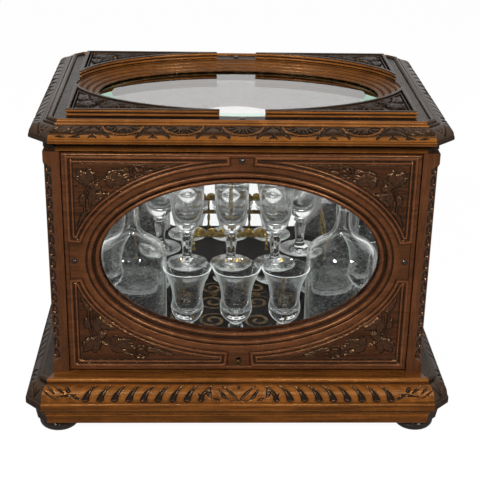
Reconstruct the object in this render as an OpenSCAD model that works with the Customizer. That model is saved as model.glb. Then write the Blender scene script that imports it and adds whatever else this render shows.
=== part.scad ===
/* [Case] */
// Width of the case over its corner posts
body_w = 330; // [328:1:380]
// Depth of the case over its corner posts
body_d = 234; // [232:1:290]
// Side of each square corner post
post_w = 14; // [12:0.5:16]
// Width of the chamfer on the outer corner of each post
post_chamfer = 7; // [3:0.5:10]
// Height of the square stop at each end of a post's chamfer
post_stop_h = 12; // [6:1:30]
// Height of the seam between the case and the lid above the ground
seam_z = 265.5; // [262:0.5:300]
// Clearance between the case and the lid's underside
seam_gap = 0.3; // [0.2:0.1:1]
// Thickness of the side panels
side_t = 12; // [9:0.5:13]

/* [Base] */
// Height of the bun feet
foot_h = 14; // [10:0.5:24]
// Largest radius of a bun foot
foot_r = 18; // [12:0.5:20]
// Distance from a foot's centre to the case's side face, outwards is negative
foot_inset_x = 2; // [0:0.5:12]
// Distance from a foot's centre to the case's front face
foot_inset_y = 9; // [4:0.5:20]
// Height of the plinth moulding
plinth_h = 44; // [38:1:60]
// How far the plinth's nosing stands out from the case
plinth_reach = 24.8; // [20:0.2:36]
// Chamfer on the plinth's corners, measured at the nosing
plinth_chamfer = 15; // [8:0.5:20]
// Thickness of the floor board
floor_t = 6; // [4:0.5:8]
// Width of the rebate that carries the floor board
floor_ledge = 8; // [4:0.5:14]
// Depth from the plinth's top down to the floor board's surface
well_depth = 6; // [4:0.5:7]

/* [Front] */
// Gap between the front frame and the posts beside it
door_gap = 0.3; // [0.2:0.1:1]
// Gap between the front frame's lower edge and the plinth
door_foot_gap = 1.5; // [0.8:0.1:3]
// Thickness of the front frame
door_t = 11; // [10:0.5:12]
// Wood on each side of the front's oval window, up to the post
front_stile = 29.5; // [28:0.5:60]
// Wood above the oval windows of the front and sides, up to the seam
front_rail_top = 29.6; // [28:0.2:36]
// Wood under the oval windows of the front and sides
front_rail_foot = 35.1; // [33:0.1:42]
// Width of the moulding from the front oval to the carved panels
front_ring_w = 17; // [13:0.5:18]
// How far the carved panels stand out from the front frame
panel_relief = 2.5; // [1.5:0.1:3]
// Width of the raised border round each carved panel
panel_border = 6.5; // [4:0.5:8]
// Depth of the sunk field inside the border
field_sink = 1.2; // [0.5:0.1:1.4]
// Half the space between the carved panels on the centre line
panel_split = 9.3; // [6:0.1:20]
// Margin between the carved panels and the front frame's edge
panel_margin = 2.8; // [2:0.1:6]
// Radius of the keyhole's round end
keyhole_r = 2.2; // [1.6:0.1:3]
// Height of the keyhole above the front frame's lower edge
keyhole_up = 9.5; // [8:0.1:12]

/* [Sides and back] */
// Wood beside the oval windows of the side panels, up to the post
side_stile = 41; // [32:0.5:60]
// Wood beside the oval window of the back panel, up to the post
back_stile = 46; // [30:0.5:60]
// Wood above the oval window of the back panel
back_rail_top = 25; // [24:0.5:36]
// Wood under the oval window of the back panel
back_rail_foot = 28.5; // [27:0.5:42]
// Width of the flat between a side or back window and its low panels
window_ring = 13; // [10:0.5:14]
// Height of the low carving on the sides and the back
low_relief = 1.5; // [0.8:0.1:1.8]

/* [Glazing] */
// Thickness of the glass panes
pane_t = 4; // [3:0.5:5]
// How far a pane reaches under its frame all round
pane_lap = 6; // [4:0.5:7]
// Thickness of the wooden beads that hold the panes
bead_t = 1.5; // [1:0.1:2]
// Play between a pane or a bead and its rebate
glaze_play = 0.2; // [0.1:0.1:0.5]

/* [Lid] */
// Height of the lid's top board above the seam
lid_h = 24.2; // [22:0.2:34]
// How far the cornice stands out from the case
cornice_reach = 11.75; // [8:0.25:16]
// Chamfer on the cornice's corners, measured at its widest
cornice_chamfer = 18; // [12:0.5:24]
// Thickness of the lid's top board
lid_board_t = 14; // [13:0.5:18]
// Wood on each side of the lid's oval window, up to the case's side face
lid_border_x = 38; // [37:0.5:60]
// Wood before and behind the lid's oval window, up to the case's face
lid_border_y = 42; // [41:0.5:50]
// Distance from the case's side face to the moulded ring of the lid's window
lid_ring_in_x = 16.5; // [16:0.5:20]
// Distance from the case's front face to the moulded ring of the lid's window
lid_ring_in_y = 21; // [20:0.5:24]
// Margin from the case's face to the raised panels on the lid
lid_panel_margin = 18.3; // [16:0.1:20]
// Height of the raised panels on the lid
lid_panel_h = 6.5; // [4:0.5:10]
// Half the space between the raised panels at the front and back
lid_split_x = 19; // [10:0.5:30]
// Depth of the moulded ring's outer step
lid_ring_step = 2.2; // [1.5:0.1:2.8]
// Depth of the moulded ring's inner step
lid_ring_sink = 4.2; // [3.2:0.1:4.6]
// Radius of the bead that edges the top board
cornice_bead_r = 2.2; // [1.8:0.1:2.6]
// Distance of that bead's centre from the case's face
cornice_bead_in = 5.8; // [5:0.1:7]
// Half the space between the raised panels at the two ends
lid_split_y = 20; // [12:0.5:30]
// Radius of the small round studs
stud_r = 2.6; // [1.5:0.1:4]
// Length of the peg that holds each stud in its socket
peg_len = 2; // [1:0.2:3]

/* [Hinges and lock] */
// Length of each brass hinge
hinge_len = 40; // [30:1:60]
// Distance of each hinge's centre from the case's side face
hinge_inset = 65; // [50:1:90]
// Outer radius of the hinge knuckles
knuckle_r = 2.9; // [2.5:0.1:4]
// Radius of the hinge pins
hinge_pin_r = 1.4; // [1:0.1:1.8]
// Running clearance between pin and turning knuckle
pin_play = 0.06; // [0.02:0.01:0.1]
// Thickness of the hinge leaves
leaf_t = 1.2; // [0.8:0.1:1.8]
// Depth of the hinge leaves
leaf_d = 11; // [8:0.5:13]
// Width of the lock case
lock_w = 36; // [28:1:50]
// Height of the lock case
lock_h = 24; // [20:1:26]
// Depth of the lock case
lock_d = 7.5; // [6:0.5:8]
// Wall of the lock case
lock_wall = 1.2; // [0.8:0.1:1.5]
// Width of the bolt
bolt_w = 14; // [8:0.5:20]
// Thickness of the bolt
bolt_t = 3.4; // [2:0.1:3.6]
// How far the key throws the bolt
bolt_throw = 5; // [4:0.5:6]

/* [Caddy] */
// Thickness of the lacquered tray
tray_t = 7.7; // [6:0.1:10]
// Gap between the tray's edge and the case wall
tray_gap = 4; // [3.5:0.5:8]
// Height of the upper tier's surface above the tray
tier_up = 67.7; // [60:0.1:80]
// Thickness of the upper tier's plate
tier_t = 3.2; // [2:0.1:4]
// Margin between the outer glasses' feet and the upper tier's ends
tier_end_gap = 3.5; // [2:0.5:6]
// Offset of the upper tier from the case's centre line
tier_shift = -6; // [-8:0.5:2]
// Radius of the columns that carry the tier
column_r = 2.6; // [1.5:0.1:4]
// Height of the gilt gallery's lower rail above the tier
rail_low = 18; // [10:0.5:24]
// Height of the gilt gallery's crest rail above the tier
rail_high = 32; // [26:0.5:40]
// Thickness of the gallery's rails
rail_t = 1.4; // [1:0.1:1.6]
// Radius of the carrying handle's stem
stem_r = 2.2; // [1.5:0.1:3.5]
// Height of the centre of the carrying loop above the tier
loop_up = 104; // [95:1:106]
// Radius of the carrying loop along its middle
loop_r = 14; // [12:0.5:15]

/* [Glassware] */
// Width of a decanter in percent of the case's width inside
decanter_share = 21.2; // [19:0.1:21.4]
// Height of the decanters' straight sides
decanter_side_h = 87; // [70:1:95]
// Height of the decanters to the lip
decanter_h = 147; // [140:1:150]
// Radius of the decanters' necks
neck_r = 7.2; // [6.6:0.1:9]
// Wall of the decanters
decanter_wall = 2.4; // [1.5:0.1:3]
// Gap between the decanters and the side walls
decanter_gap_x = 23; // [18:0.5:25]
// Gap between the decanters and the front and back walls
decanter_gap_y = 9; // [6:0.5:10]
// Offset of the decanters from the case's centre line
decanter_shift = -1.5; // [-2:0.5:2]
// Radius of the stoppers' ground plugs
plug_r = 4.8; // [3.5:0.1:4.8]
// Running clearance round each plug
plug_play = 0.08; // [0.03:0.01:0.1]
// Length of the stoppers' plugs
plug_len = 14; // [10:0.5:18]
// Radius of the stoppers' balls
ball_r = 12; // [9:0.5:13]
// Height of the glasses
glass_h = 84; // [78:0.5:86]
// Gap between the decanters and the bell glasses beside them
bell_clear = 0.3; // [0.2:0.1:1.5]
// Gap between the rims of neighbouring bell glasses
bell_apart = 0.7; // [0.5:0.1:2]
// Foot of every glass in percent of a bell glass's rim
foot_share = 89.5; // [84:0.5:91]
// Rim of the tulip glasses in percent of a bell glass's rim
tulip_share = 73.5; // [68:0.5:78]
// Gap between the feet of neighbouring tulip glasses
tulip_apart = 2.1; // [1:0.1:3]
// Step from a row to the side tulip glasses in percent of a foot's radius
side_step_share = 133; // [128:1:140]
// Gap between the lower rows of glasses and the front and back walls
bell_gap_y = 2.2; // [1.6:0.1:4]
// Gap between the lower side glasses and the side walls
bell_gap_x = 4.2; // [3.5:0.1:6]
// Offset of the lower rows from the case's centre line
bell_shift = -2; // [-3:0.5:2]

/* [Hidden] */
$fn = 64;

// Case heights and the space inside the posts
plinth_z = foot_h + plinth_h;
inner_w = body_w - 2 * post_w;
inner_d = body_d - 2 * post_w;
floor_z = plinth_z - well_depth;
under_lid_z = seam_z + seam_gap;
door_z = plinth_z + door_foot_gap;
door_w = inner_w - 2 * door_gap;
door_face_y = -body_d / 2 + panel_relief;
door_back_y = door_face_y + door_t;
front_oval_a = inner_w / 2 - front_stile;
front_oval_b = (under_lid_z - door_z - front_rail_top - front_rail_foot) / 2;
oval_z = door_z + front_rail_foot + front_oval_b;
side_oval_a = inner_d / 2 - side_stile;
back_oval_a = inner_w / 2 - back_stile;
back_oval_b = (seam_z - plinth_z - back_rail_top - back_rail_foot) / 2;
back_oval_z = plinth_z + back_rail_foot + back_oval_b;
pane_front_y = door_back_y - bead_t - pane_t;
side_face_x = inner_w / 2 + side_t;
board_top_z = under_lid_z + lid_h;
board_low_z = board_top_z - lid_board_t;
lid_bead_t = 2 * bead_t;
lid_pane_z = board_low_z + lid_bead_t;
lid_oval_a = body_w / 2 - lid_border_x;
lid_oval_b = body_d / 2 - lid_border_y;
lid_ring_a = body_w / 2 - lid_ring_in_x;
lid_ring_b = body_d / 2 - lid_ring_in_y;
cornice_bead_land = 0.2;
cornice_inner = cornice_bead_in + cornice_bead_r + cornice_bead_land;
lid_stud_y = (lid_ring_b + body_d / 2 - cornice_inner) / 2;
peg_r = 0.6 * stud_r;
peg_play = 0.1;

// Hinge axis, just behind the back face at the seam
hinge_gap = 0.3;
hinge_x = body_w / 2 - hinge_inset;
hinge_y = body_d / 2 + knuckle_r + hinge_gap;
hinge_z = seam_z + seam_gap / 2;
leaf_edge_y = body_d / 2 - hinge_gap;
knuckle_len = hinge_len / 3;

// Lock, set into the front frame from behind
lock_y = door_back_y - lock_d / 2;
keyhole_z = door_z + keyhole_up;
bolt_h = 16;
bolt_play = 0.3;
strike_t = 1.2;
strike_w = 26;
strike_d = 9;
strike_play = 0.6;
pocket_play = 1;

// Caddy and glassware places
tray_lift = 0.3;
tray_z = floor_z + tray_lift + tray_t;
tray_w = inner_w - 2 * tray_gap;
tray_d = inner_d - 2 * tray_gap;
tray_step = 2;
tier_z = tray_z + tier_up;
tier_rim_gap = 0.5;
rail_edge = 0.4;
handle_room = 6.5;
decanter_r = inner_w * decanter_share / 200;
decanter_x = inner_w / 2 - decanter_gap_x - decanter_r;
decanter_y = inner_d / 2 - decanter_gap_y - decanter_r;
decanter_clear = 1.5;

// The bell glasses' rims touch neither their neighbours nor the decanters: across the case
// the rim is the smaller root of a square, and along it the tier's parts add up
room_x = decanter_x - abs(bell_shift - decanter_shift) - bell_apart;
room_y = decanter_gap_y + decanter_r - bell_gap_y;
room_r = decanter_r + bell_clear;
room_sum = 4 * room_x + 2 * room_y + 2 * room_r;
room_square = room_x * room_x + room_y * room_y - room_r * room_r;
bell_r_across = (room_sum - sqrt(room_sum * room_sum - 16 * room_square)) / 8;
bell_r_along = (inner_d / 2 - bell_gap_y - tier_rim_gap - 2 * rail_edge - rail_t - handle_room)
    / (2 + foot_share / 50);
bell_r = min(bell_r_across, bell_r_along);
bell_pitch = 2 * bell_r + bell_apart;
bell_row_y = inner_d / 2 - bell_gap_y - bell_r;
bell_side_x = inner_w / 2 - bell_gap_x - bell_r;
glass_foot_r = bell_r * foot_share / 100;
tulip_r = bell_r * tulip_share / 100;
tulip_pitch = 2 * glass_foot_r + tulip_apart;
glass_stem_r = 3.6;
glass_stem_foot = 11;
glass_edge_t = 1.2;

tier_half_d = bell_row_y - bell_r - tier_rim_gap;
rail_y = tier_half_d - rail_edge - rail_t / 2;
tulip_row_y = rail_y - rail_t / 2 - rail_edge - glass_foot_r;
side_step_free = sqrt(max(0, tulip_pitch * tulip_pitch - tulip_row_y * tulip_row_y));
tulip_side_x = tulip_pitch
    + max(glass_foot_r * side_step_share / 100, side_step_free + tulip_apart);
tier_half_w = tulip_side_x + glass_foot_r + tier_end_gap;
column_in_x = 17;
column_in_y = 25.5;
column_x = tulip_side_x - column_in_x;
column_y = rail_y - column_in_y;
rail_half = tulip_pitch;
rail_mid_gap = 13.5;
rail_mid_half = tulip_side_x - glass_foot_r - rail_mid_gap;
rail_side_half = 20;
rail_mid_y = -3;

WALNUT = [0.30, 0.15, 0.08];
CARVED = [0.36, 0.19, 0.10];
DARK_WOOD = [0.12, 0.07, 0.05];
BRASS = [0.72, 0.53, 0.22];
LACQUER = [0.05, 0.05, 0.05];
CLEAR = [0.80, 0.90, 0.88, 0.4];
CRYSTAL = [0.85, 0.92, 0.95, 0.5];

// Points along an ellipse's arc
function arc_pts(c, rx, ry, a0, a1, n) =
    [for (i = [0:n]) let (a = a0 + (a1 - a0) * i / n) c + [rx * cos(a), ry * sin(a)]];

// Points along a cubic curve, without its first point
function curve_pts(p0, p1, p2, p3, n) =
    [for (i = [1:n]) let (t = i / n, u = 1 - t)
        u * u * u * p0 + 3 * u * u * t * p1 + 3 * u * t * t * p2 + t * t * t * p3];

// Corners of a rectangle with chamfered corners, anticlockwise
function chamfered(hw, hd, c) = [
    [hw, -hd + c], [hw, hd - c], [hw - c, hd], [-hw + c, hd],
    [-hw, hd - c], [-hw, -hd + c], [-hw + c, -hd], [hw - c, -hd]
];

// A moulding carried round the case: profile holds [reach, height] from bottom to top,
// and the chamfer is ref_c where the reach is ref_reach
module moulded_block(profile, ref_reach, ref_c) {
    mitre = 2 - sqrt(2);
    rings = [for (p = profile)
        [for (q = chamfered(body_w / 2 + p[0], body_d / 2 + p[0],
                            max(0.2, ref_c + mitre * (p[0] - ref_reach))))
            [q[0], q[1], p[1]]]];
    last = len(profile) - 1;
    sides = [for (i = [0:last - 1]) for (j = [0:7])
        [i * 8 + j, i * 8 + (j + 1) % 8, (i + 1) * 8 + (j + 1) % 8, (i + 1) * 8 + j]];
    polyhedron(
        points = [for (r = rings) each r],
        faces = [for (f = concat([[for (j = [7:-1:0]) j]], sides,
                                 [[for (j = [0:7]) last * 8 + j]]))
            [for (k = [len(f) - 1:-1:0]) f[k]]]
    );
}

module oval(a, b) {
    polygon(arc_pts([0, 0], a, b, 0, 360 * 47 / 48, 47));
}

module oval_ring(a, b, inner, outer) {
    difference() {
        oval(a + outer, b + outer);
        oval(a + inner, b + inner);
    }
}

// Draws a flat shape upright, facing the front, from back_y forwards
module facing_front(back_y, t) {
    translate([0, back_y, 0]) rotate([90, 0, 0]) linear_extrude(t) children();
}

// Draws a flat shape upright, facing the given side, from x outwards
module facing_side(side, x, t) {
    translate([side * x, 0, 0]) rotate([90, 0, side * 90]) linear_extrude(t) children();
}

// One corner of a window panel: a rectangle less the oval moulding
module spandrel_shape(x0, x1, z0, z1, a, b, inset) {
    difference() {
        translate([x0 + inset, z0 + inset]) square([x1 - x0 - 2 * inset, z1 - z0 - 2 * inset]);
        oval(a + inset, b + inset);
    }
}

// A raised corner panel with a border round a sunk field
module spandrel(x0, x1, z0, z1, a, b, h, border, sink) {
    difference() {
        linear_extrude(h) spandrel_shape(x0, x1, z0, z1, a, b, 0);
        translate([0, 0, h - sink])
            linear_extrude(h) spandrel_shape(x0, x1, z0, z1, a, b, border);
    }
}

// Base
module base_plinth() {
    r = plinth_reach;
    top = plinth_z;
    fascia_in = 9.8;
    fascia_h = 9.4;
    bead_r = 2.4;
    bead_up = 13.2;
    nose_z = foot_h + 17;
    nose_h = 8.5;
    nose_r = 1.5;
    torus_w = 10;
    torus_foot = nose_z + nose_h + 0.7;
    torus_h = top - 2 * bead_r - 0.2 - torus_foot;
    torus_in = r - 1 - torus_w;
    profile = concat(
        [[r - fascia_in, foot_h], [r - 8, foot_h + fascia_h], [r - 9, foot_h + fascia_h + 0.8]],
        arc_pts([r - 8, foot_h + bead_up], bead_r, bead_r, -70, 70, 6),
        [[r - 4, nose_z - 0.6]],
        arc_pts([r - nose_r, nose_z + nose_r], nose_r, nose_r, -80, 0, 3),
        arc_pts([r - nose_r, nose_z + nose_h - nose_r], nose_r, nose_r, 0, 80, 3),
        arc_pts([torus_in, torus_foot], torus_w, torus_h, 0, 84, 8),
        [[torus_in - 0.8, torus_foot + torus_h]],
        arc_pts([torus_in - 3.6, top - bead_r], bead_r, bead_r, -60, 90, 6)
    );
    color(CARVED) difference() {
        moulded_block(profile, r, plinth_chamfer);
        translate([-inner_w / 2, -inner_d / 2, floor_z - floor_t])
            cube([inner_w, inner_d, plinth_h]);
        translate([floor_ledge - inner_w / 2, floor_ledge - inner_d / 2, foot_h - 1])
            cube([inner_w - 2 * floor_ledge, inner_d - 2 * floor_ledge, plinth_h]);
        translate([-strike_w / 2, lock_y - strike_d / 2, top - strike_t])
            cube([strike_w, strike_d, strike_t + 1]);
        translate([-bolt_w / 2 - pocket_play, lock_y - bolt_t / 2 - pocket_play,
                   top - strike_t - bolt_throw - 2])
            cube([bolt_w + 2 * pocket_play, bolt_t + 2 * pocket_play, bolt_throw + 3]);
    }
}

module base_floor() {
    color(DARK_WOOD) translate([-inner_w / 2, -inner_d / 2, floor_z - floor_t])
        cube([inner_w, inner_d, floor_t]);
}

module foot(sx, sy) {
    pad_r = foot_r * 0.62;
    neck_in = 7;
    neck = 3;
    belly = (foot_h - neck) / 2;
    color(DARK_WOOD)
        translate([sx * (body_w / 2 - foot_inset_x), sy * (body_d / 2 - foot_inset_y), 0])
            rotate_extrude() polygon(concat(
                [[0, 0], [pad_r, 0]],
                arc_pts([foot_r - belly, belly], belly, belly, -60, 75, 8),
                [[foot_r - neck_in, foot_h - neck], [foot_r - neck_in, foot_h], [0, foot_h]]
            ));
}

module strike_plate() {
    color(BRASS) translate([0, lock_y, plinth_z - strike_t]) difference() {
        translate([-strike_w / 2, -strike_d / 2, 0]) cube([strike_w, strike_d, strike_t]);
        translate([-bolt_w / 2 - strike_play, -bolt_t / 2 - strike_play, -1])
            cube([bolt_w + 2 * strike_play, bolt_t + 2 * strike_play, strike_t + 2]);
    }
}

// Case
module post(sx, sy) {
    half = post_w / 2;
    past = 1;
    cut = half - post_chamfer - past;
    color(WALNUT) translate([sx * (body_w / 2 - half), sy * (body_d / 2 - half), plinth_z])
        difference() {
            translate([-half, -half, 0]) cube([post_w, post_w, seam_z - plinth_z]);
            translate([0, 0, post_stop_h])
                linear_extrude(seam_z - plinth_z - 2 * post_stop_h) polygon([
                    [sx * (half + past), sy * cut], [sx * (half + past), sy * (half + past)],
                    [sx * cut, sy * (half + past)]]);
        }
}

module window_panel_shape(half_w, oval_a, oval_b, z) {
    difference() {
        translate([-half_w, plinth_z]) square([2 * half_w, seam_z - plinth_z]);
        translate([0, z]) oval(oval_a, oval_b);
    }
}

// The four low corner panels and the raised bead round a side or back window
module window_dressing(half_w, oval_a, oval_b, z, h) {
    split = 7;
    edge = 3;
    bead = [3, 8];
    border = 4;
    low = z - plinth_z - edge;
    high = seam_z - z - edge;
    a = oval_a + window_ring;
    b = oval_b + window_ring;
    translate([0, z]) {
        linear_extrude(h) oval_ring(oval_a, oval_b, bead[0], bead[1]);
        for (s = [0, 1]) mirror([s, 0]) {
            spandrel(split, half_w - edge, split, high, a, b, h, border, h / 2);
            mirror([0, 1, 0])
                spandrel(split, half_w - edge, split, low, a, b, h, border, h / 2);
        }
    }
}

module side_panel(side) {
    color(WALNUT) difference() {
        union() {
            facing_side(side, inner_w / 2, side_t - low_relief)
                window_panel_shape(inner_d / 2, side_oval_a, front_oval_b, oval_z);
            translate([side * (side_face_x - low_relief), 0, 0]) rotate([90, 0, side * 90])
                window_dressing(inner_d / 2, side_oval_a, front_oval_b, oval_z, low_relief);
        }
        facing_side(side, inner_w / 2 - 1, pane_t + bead_t + 1)
            translate([0, oval_z]) oval(side_oval_a + pane_lap, front_oval_b + pane_lap);
    }
}

module side_glass(side) {
    lap = pane_lap - glaze_play;
    color(CLEAR) facing_side(side, inner_w / 2 + bead_t, pane_t)
        translate([0, oval_z]) oval(side_oval_a + lap, front_oval_b + lap);
}

module hinge_mortise(z, h) {
    for (s = [-1, 1]) translate([s * hinge_x - hinge_len / 2, body_d / 2 - leaf_d, z])
        cube([hinge_len, leaf_d + 1, h]);
}

module back_panel() {
    plain_top = 12;
    color(WALNUT) difference() {
        facing_front(body_d / 2, post_w)
            window_panel_shape(inner_w / 2, back_oval_a, back_oval_b, back_oval_z);
        facing_front(inner_d / 2 + pane_t + bead_t, pane_t + bead_t + 1)
            translate([0, back_oval_z]) oval(back_oval_a + pane_lap, back_oval_b + pane_lap);
        difference() {
            facing_front(body_d / 2 + 1, low_relief + 1)
                window_panel_shape(inner_w / 2 + 1, back_oval_a, back_oval_b, back_oval_z);
            translate([0, body_d / 2 - low_relief, 0]) rotate([90, 0, 180])
                window_dressing(inner_w / 2, back_oval_a, back_oval_b, back_oval_z,
                                2 * low_relief);
            translate([-inner_w, body_d / 2 - 2 * low_relief, seam_z - plain_top])
                cube([2 * inner_w, 4 * low_relief, 2 * plain_top]);
        }
        hinge_mortise(seam_z - leaf_t, leaf_t + 1);
    }
}

module back_glass() {
    lap = pane_lap - glaze_play;
    color(CLEAR) facing_front(inner_d / 2 + bead_t + pane_t, pane_t)
        translate([0, back_oval_z]) oval(back_oval_a + lap, back_oval_b + lap);
}

module case_glazing_beads() {
    lap = pane_lap - glaze_play;
    color(DARK_WOOD) {
        for (side = [-1, 1]) facing_side(side, inner_w / 2, bead_t)
            translate([0, oval_z]) oval_ring(side_oval_a, front_oval_b, -1, lap);
        facing_front(inner_d / 2 + bead_t, bead_t)
            translate([0, back_oval_z]) oval_ring(back_oval_a, back_oval_b, -1, lap);
    }
}

// Hinges
module hinge_knuckle(x0, len, bore) {
    translate([x0, hinge_y, hinge_z]) rotate([0, 90, 0]) difference() {
        cylinder(r = knuckle_r, h = len);
        translate([0, 0, -1]) cylinder(r = bore, h = len + 2);
    }
}

module hinge_leaf(x0, len, z) {
    difference() {
        translate([x0, leaf_edge_y - 1, z])
            cube([len, hinge_y - leaf_edge_y + 1, leaf_t]);
        translate([x0 - 1, hinge_y, hinge_z]) rotate([0, 90, 0])
            cylinder(r = knuckle_r - 0.4, h = len + 2);
    }
}

module hinge_leaves_fixed() {
    z = seam_z - leaf_t;
    color(BRASS) for (s = [-1, 1]) translate([s * hinge_x - hinge_len / 2, 0, 0]) {
        translate([0, body_d / 2 - leaf_d, z]) cube([hinge_len, leaf_d - hinge_gap, leaf_t]);
        for (x = [0, 2 * knuckle_len]) {
            hinge_knuckle(x, knuckle_len, hinge_pin_r);
            hinge_leaf(x, knuckle_len, z);
        }
    }
}

module hinge_leaves_moving() {
    z = under_lid_z;
    x = knuckle_len + hinge_gap;
    len = knuckle_len - 2 * hinge_gap;
    color(BRASS) for (s = [-1, 1]) translate([s * hinge_x - hinge_len / 2, 0, 0]) {
        translate([0, body_d / 2 - leaf_d, z]) cube([hinge_len, leaf_d - hinge_gap, leaf_t]);
        hinge_knuckle(x, len, hinge_pin_r + pin_play);
        hinge_leaf(x, len, z);
    }
}

module hinge_pins() {
    head = 1;
    color(BRASS) for (s = [-1, 1])
        translate([s * hinge_x - hinge_len / 2 - head, hinge_y, hinge_z]) rotate([0, 90, 0]) {
            cylinder(r = hinge_pin_r, h = hinge_len + 2 * head);
            cylinder(r = hinge_pin_r + 0.8, h = head);
            translate([0, 0, hinge_len + head]) cylinder(r = hinge_pin_r + 0.8, h = head);
        }
}

// Lid
module lid_frame() {
    r = cornice_reach;
    low = under_lid_z;
    top = board_top_z;
    frieze_h = 6.2;
    cove_h = 3.4;
    lip_z = low + 10.6;
    ovolo_w = r - 1;
    ovolo_h = 8.6;
    ovolo_foot = top - 2 - ovolo_h;
    bead_r = cornice_bead_r;
    bead_in = cornice_bead_in;
    profile = concat(
        [[0, low], [0, low + frieze_h]],
        arc_pts([r - 2.6, low + frieze_h], 2.6 - r, cove_h, 10, 80, 4),
        [[r - 0.6, lip_z - 0.6], [r, lip_z], [r, ovolo_foot - 0.8]],
        arc_pts([r - 0.6 - ovolo_w, ovolo_foot], ovolo_w, ovolo_h, 0, 84, 8),
        [[-0.4, top - 1.4], [-1.2, top - 0.8], [bead_r - bead_in + 0.4, top - 0.8]],
        arc_pts([-bead_in, top - 0.6], bead_r, bead_r, 10, 164, 7),
        [[-cornice_inner, top]]
    );
    ring_a = lid_ring_a - lid_oval_a;
    ring_b = lid_ring_b - lid_oval_b;
    step_share = 0.62;
    color(WALNUT) difference() {
        moulded_block(profile, r, cornice_chamfer);
        translate([-inner_w / 2, -inner_d / 2, low - 1])
            cube([inner_w, inner_d, board_low_z - low + 1]);
        translate([0, 0, board_low_z - 1]) linear_extrude(2 * lid_board_t)
            oval(lid_oval_a, lid_oval_b);
        translate([0, 0, board_low_z - 1]) linear_extrude(lid_bead_t + pane_t + 1)
            oval(lid_oval_a + pane_lap, lid_oval_b + pane_lap);
        translate([0, 0, top - lid_ring_step]) linear_extrude(2 * lid_ring_step)
            oval(lid_ring_a, lid_ring_b);
        translate([0, 0, top - lid_ring_sink]) linear_extrude(2 * lid_ring_sink)
            oval(lid_oval_a + ring_a * step_share, lid_oval_b + ring_b * step_share);
        for (s = [-1, 1]) translate([0, s * lid_stud_y, top - peg_len - peg_play])
            cylinder(r = peg_r + peg_play, h = peg_len + 1);
        hinge_mortise(low - 1, leaf_t + 1);
    }
}

module lid_glass() {
    lap = pane_lap - glaze_play;
    color(CLEAR) translate([0, 0, lid_pane_z]) linear_extrude(pane_t)
        oval(lid_oval_a + lap, lid_oval_b + lap);
}

module lid_glazing_bead() {
    lap = pane_lap - glaze_play;
    color(DARK_WOOD) translate([0, 0, board_low_z]) linear_extrude(lid_bead_t)
        oval_ring(lid_oval_a, lid_oval_b, -1, lap);
}

module lid_panel(sx, sy) {
    border = 3.5;
    color(CARVED) translate([0, 0, board_top_z])
        mirror([sx < 0 ? 1 : 0, 0, 0]) mirror([0, sy < 0 ? 1 : 0, 0])
            spandrel(lid_split_x, body_w / 2 - lid_panel_margin, lid_split_y,
                     body_d / 2 - lid_panel_margin, lid_ring_a, lid_ring_b,
                     lid_panel_h, border, field_sink);
}

// A round stud with a flat back, and a peg behind it
module stud() {
    rotate_extrude() polygon(concat(
        [[0, -peg_len], [peg_r, -peg_len], [peg_r, 0]],
        arc_pts([0, 0], stud_r, peg_r, 0, 90, 6)));
}

module lid_studs() {
    color(DARK_WOOD) for (s = [-1, 1]) translate([0, s * lid_stud_y, board_top_z]) stud();
}

// Front, carried by the lid
module front_frame() {
    h = under_lid_z - door_z;
    groove = 1.8;
    inner_groove = 5;
    bead = [6, 10.5];
    bead_h = 1.2;
    sink = 1.5;
    color(WALNUT) difference() {
        union() {
            facing_front(door_back_y, door_t) difference() {
                translate([-door_w / 2, door_z]) square([door_w, h]);
                translate([0, oval_z]) oval(front_oval_a, front_oval_b);
            }
            facing_front(door_face_y, bead_h)
                translate([0, oval_z]) oval_ring(front_oval_a, front_oval_b, bead[0], bead[1]);
        }
        facing_front(door_face_y + sink, 2 * sink)
            translate([0, oval_z]) oval_ring(front_oval_a, front_oval_b, -1, inner_groove);
        facing_front(door_back_y + 1, bead_t + pane_t + 1)
            translate([0, oval_z]) oval(front_oval_a + pane_lap, front_oval_b + pane_lap);
        translate([-door_w, door_face_y - 1, under_lid_z - groove])
            cube([2 * door_w, 3, groove + 1]);
        translate([-lock_w / 2, door_back_y - lock_d, door_z - 1])
            cube([lock_w, lock_d + 1, lock_h + 1]);
        keyhole_cut();
        translate([0, door_face_y + peg_len + peg_play, oval_z]) rotate([90, 0, 0])
            at_front_studs() cylinder(r = peg_r + peg_play, h = peg_len + 1);
    }
}

module keyhole_cut() {
    slot = 2.6 * keyhole_r;
    translate([0, door_back_y + 1, keyhole_z]) rotate([90, 0, 0])
        cylinder(r = keyhole_r, h = door_t + 2);
    translate([-keyhole_r / 2, door_face_y - 1, keyhole_z - slot])
        cube([keyhole_r, door_t + 2, slot]);
}

module front_panel(sx, sz) {
    end_gap = sz > 0 ? 3.8 : 3;
    z_end = sz > 0 ? under_lid_z - end_gap - oval_z : oval_z - door_z - end_gap;
    z_tip = sz > 0 ? 16.6 : 15.4;
    color(CARVED) translate([0, door_face_y, oval_z]) rotate([90, 0, 0])
        mirror([sx < 0 ? 1 : 0, 0, 0]) mirror([0, sz < 0 ? 1 : 0, 0])
            spandrel(panel_split, door_w / 2 - panel_margin, z_tip, z_end,
                     front_oval_a + front_ring_w, front_oval_b + front_ring_w,
                     panel_relief, panel_border, field_sink);
}

module front_glass() {
    lap = pane_lap - glaze_play;
    color(CLEAR) facing_front(pane_front_y + pane_t, pane_t)
        translate([0, oval_z]) oval(front_oval_a + lap, front_oval_b + lap);
}

module front_glazing_bead() {
    lap = pane_lap - glaze_play;
    color(DARK_WOOD) facing_front(door_back_y, bead_t)
        translate([0, oval_z]) oval_ring(front_oval_a, front_oval_b, -1, lap);
}

// Places one child at each stud of the front, seen from the front
module at_front_studs() {
    out = front_ring_w + 4;
    for (s = [-1, 1]) translate([s * (front_oval_a + out), 0, 0]) children();
    translate([0, front_oval_b + out, 0]) children();
}

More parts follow.
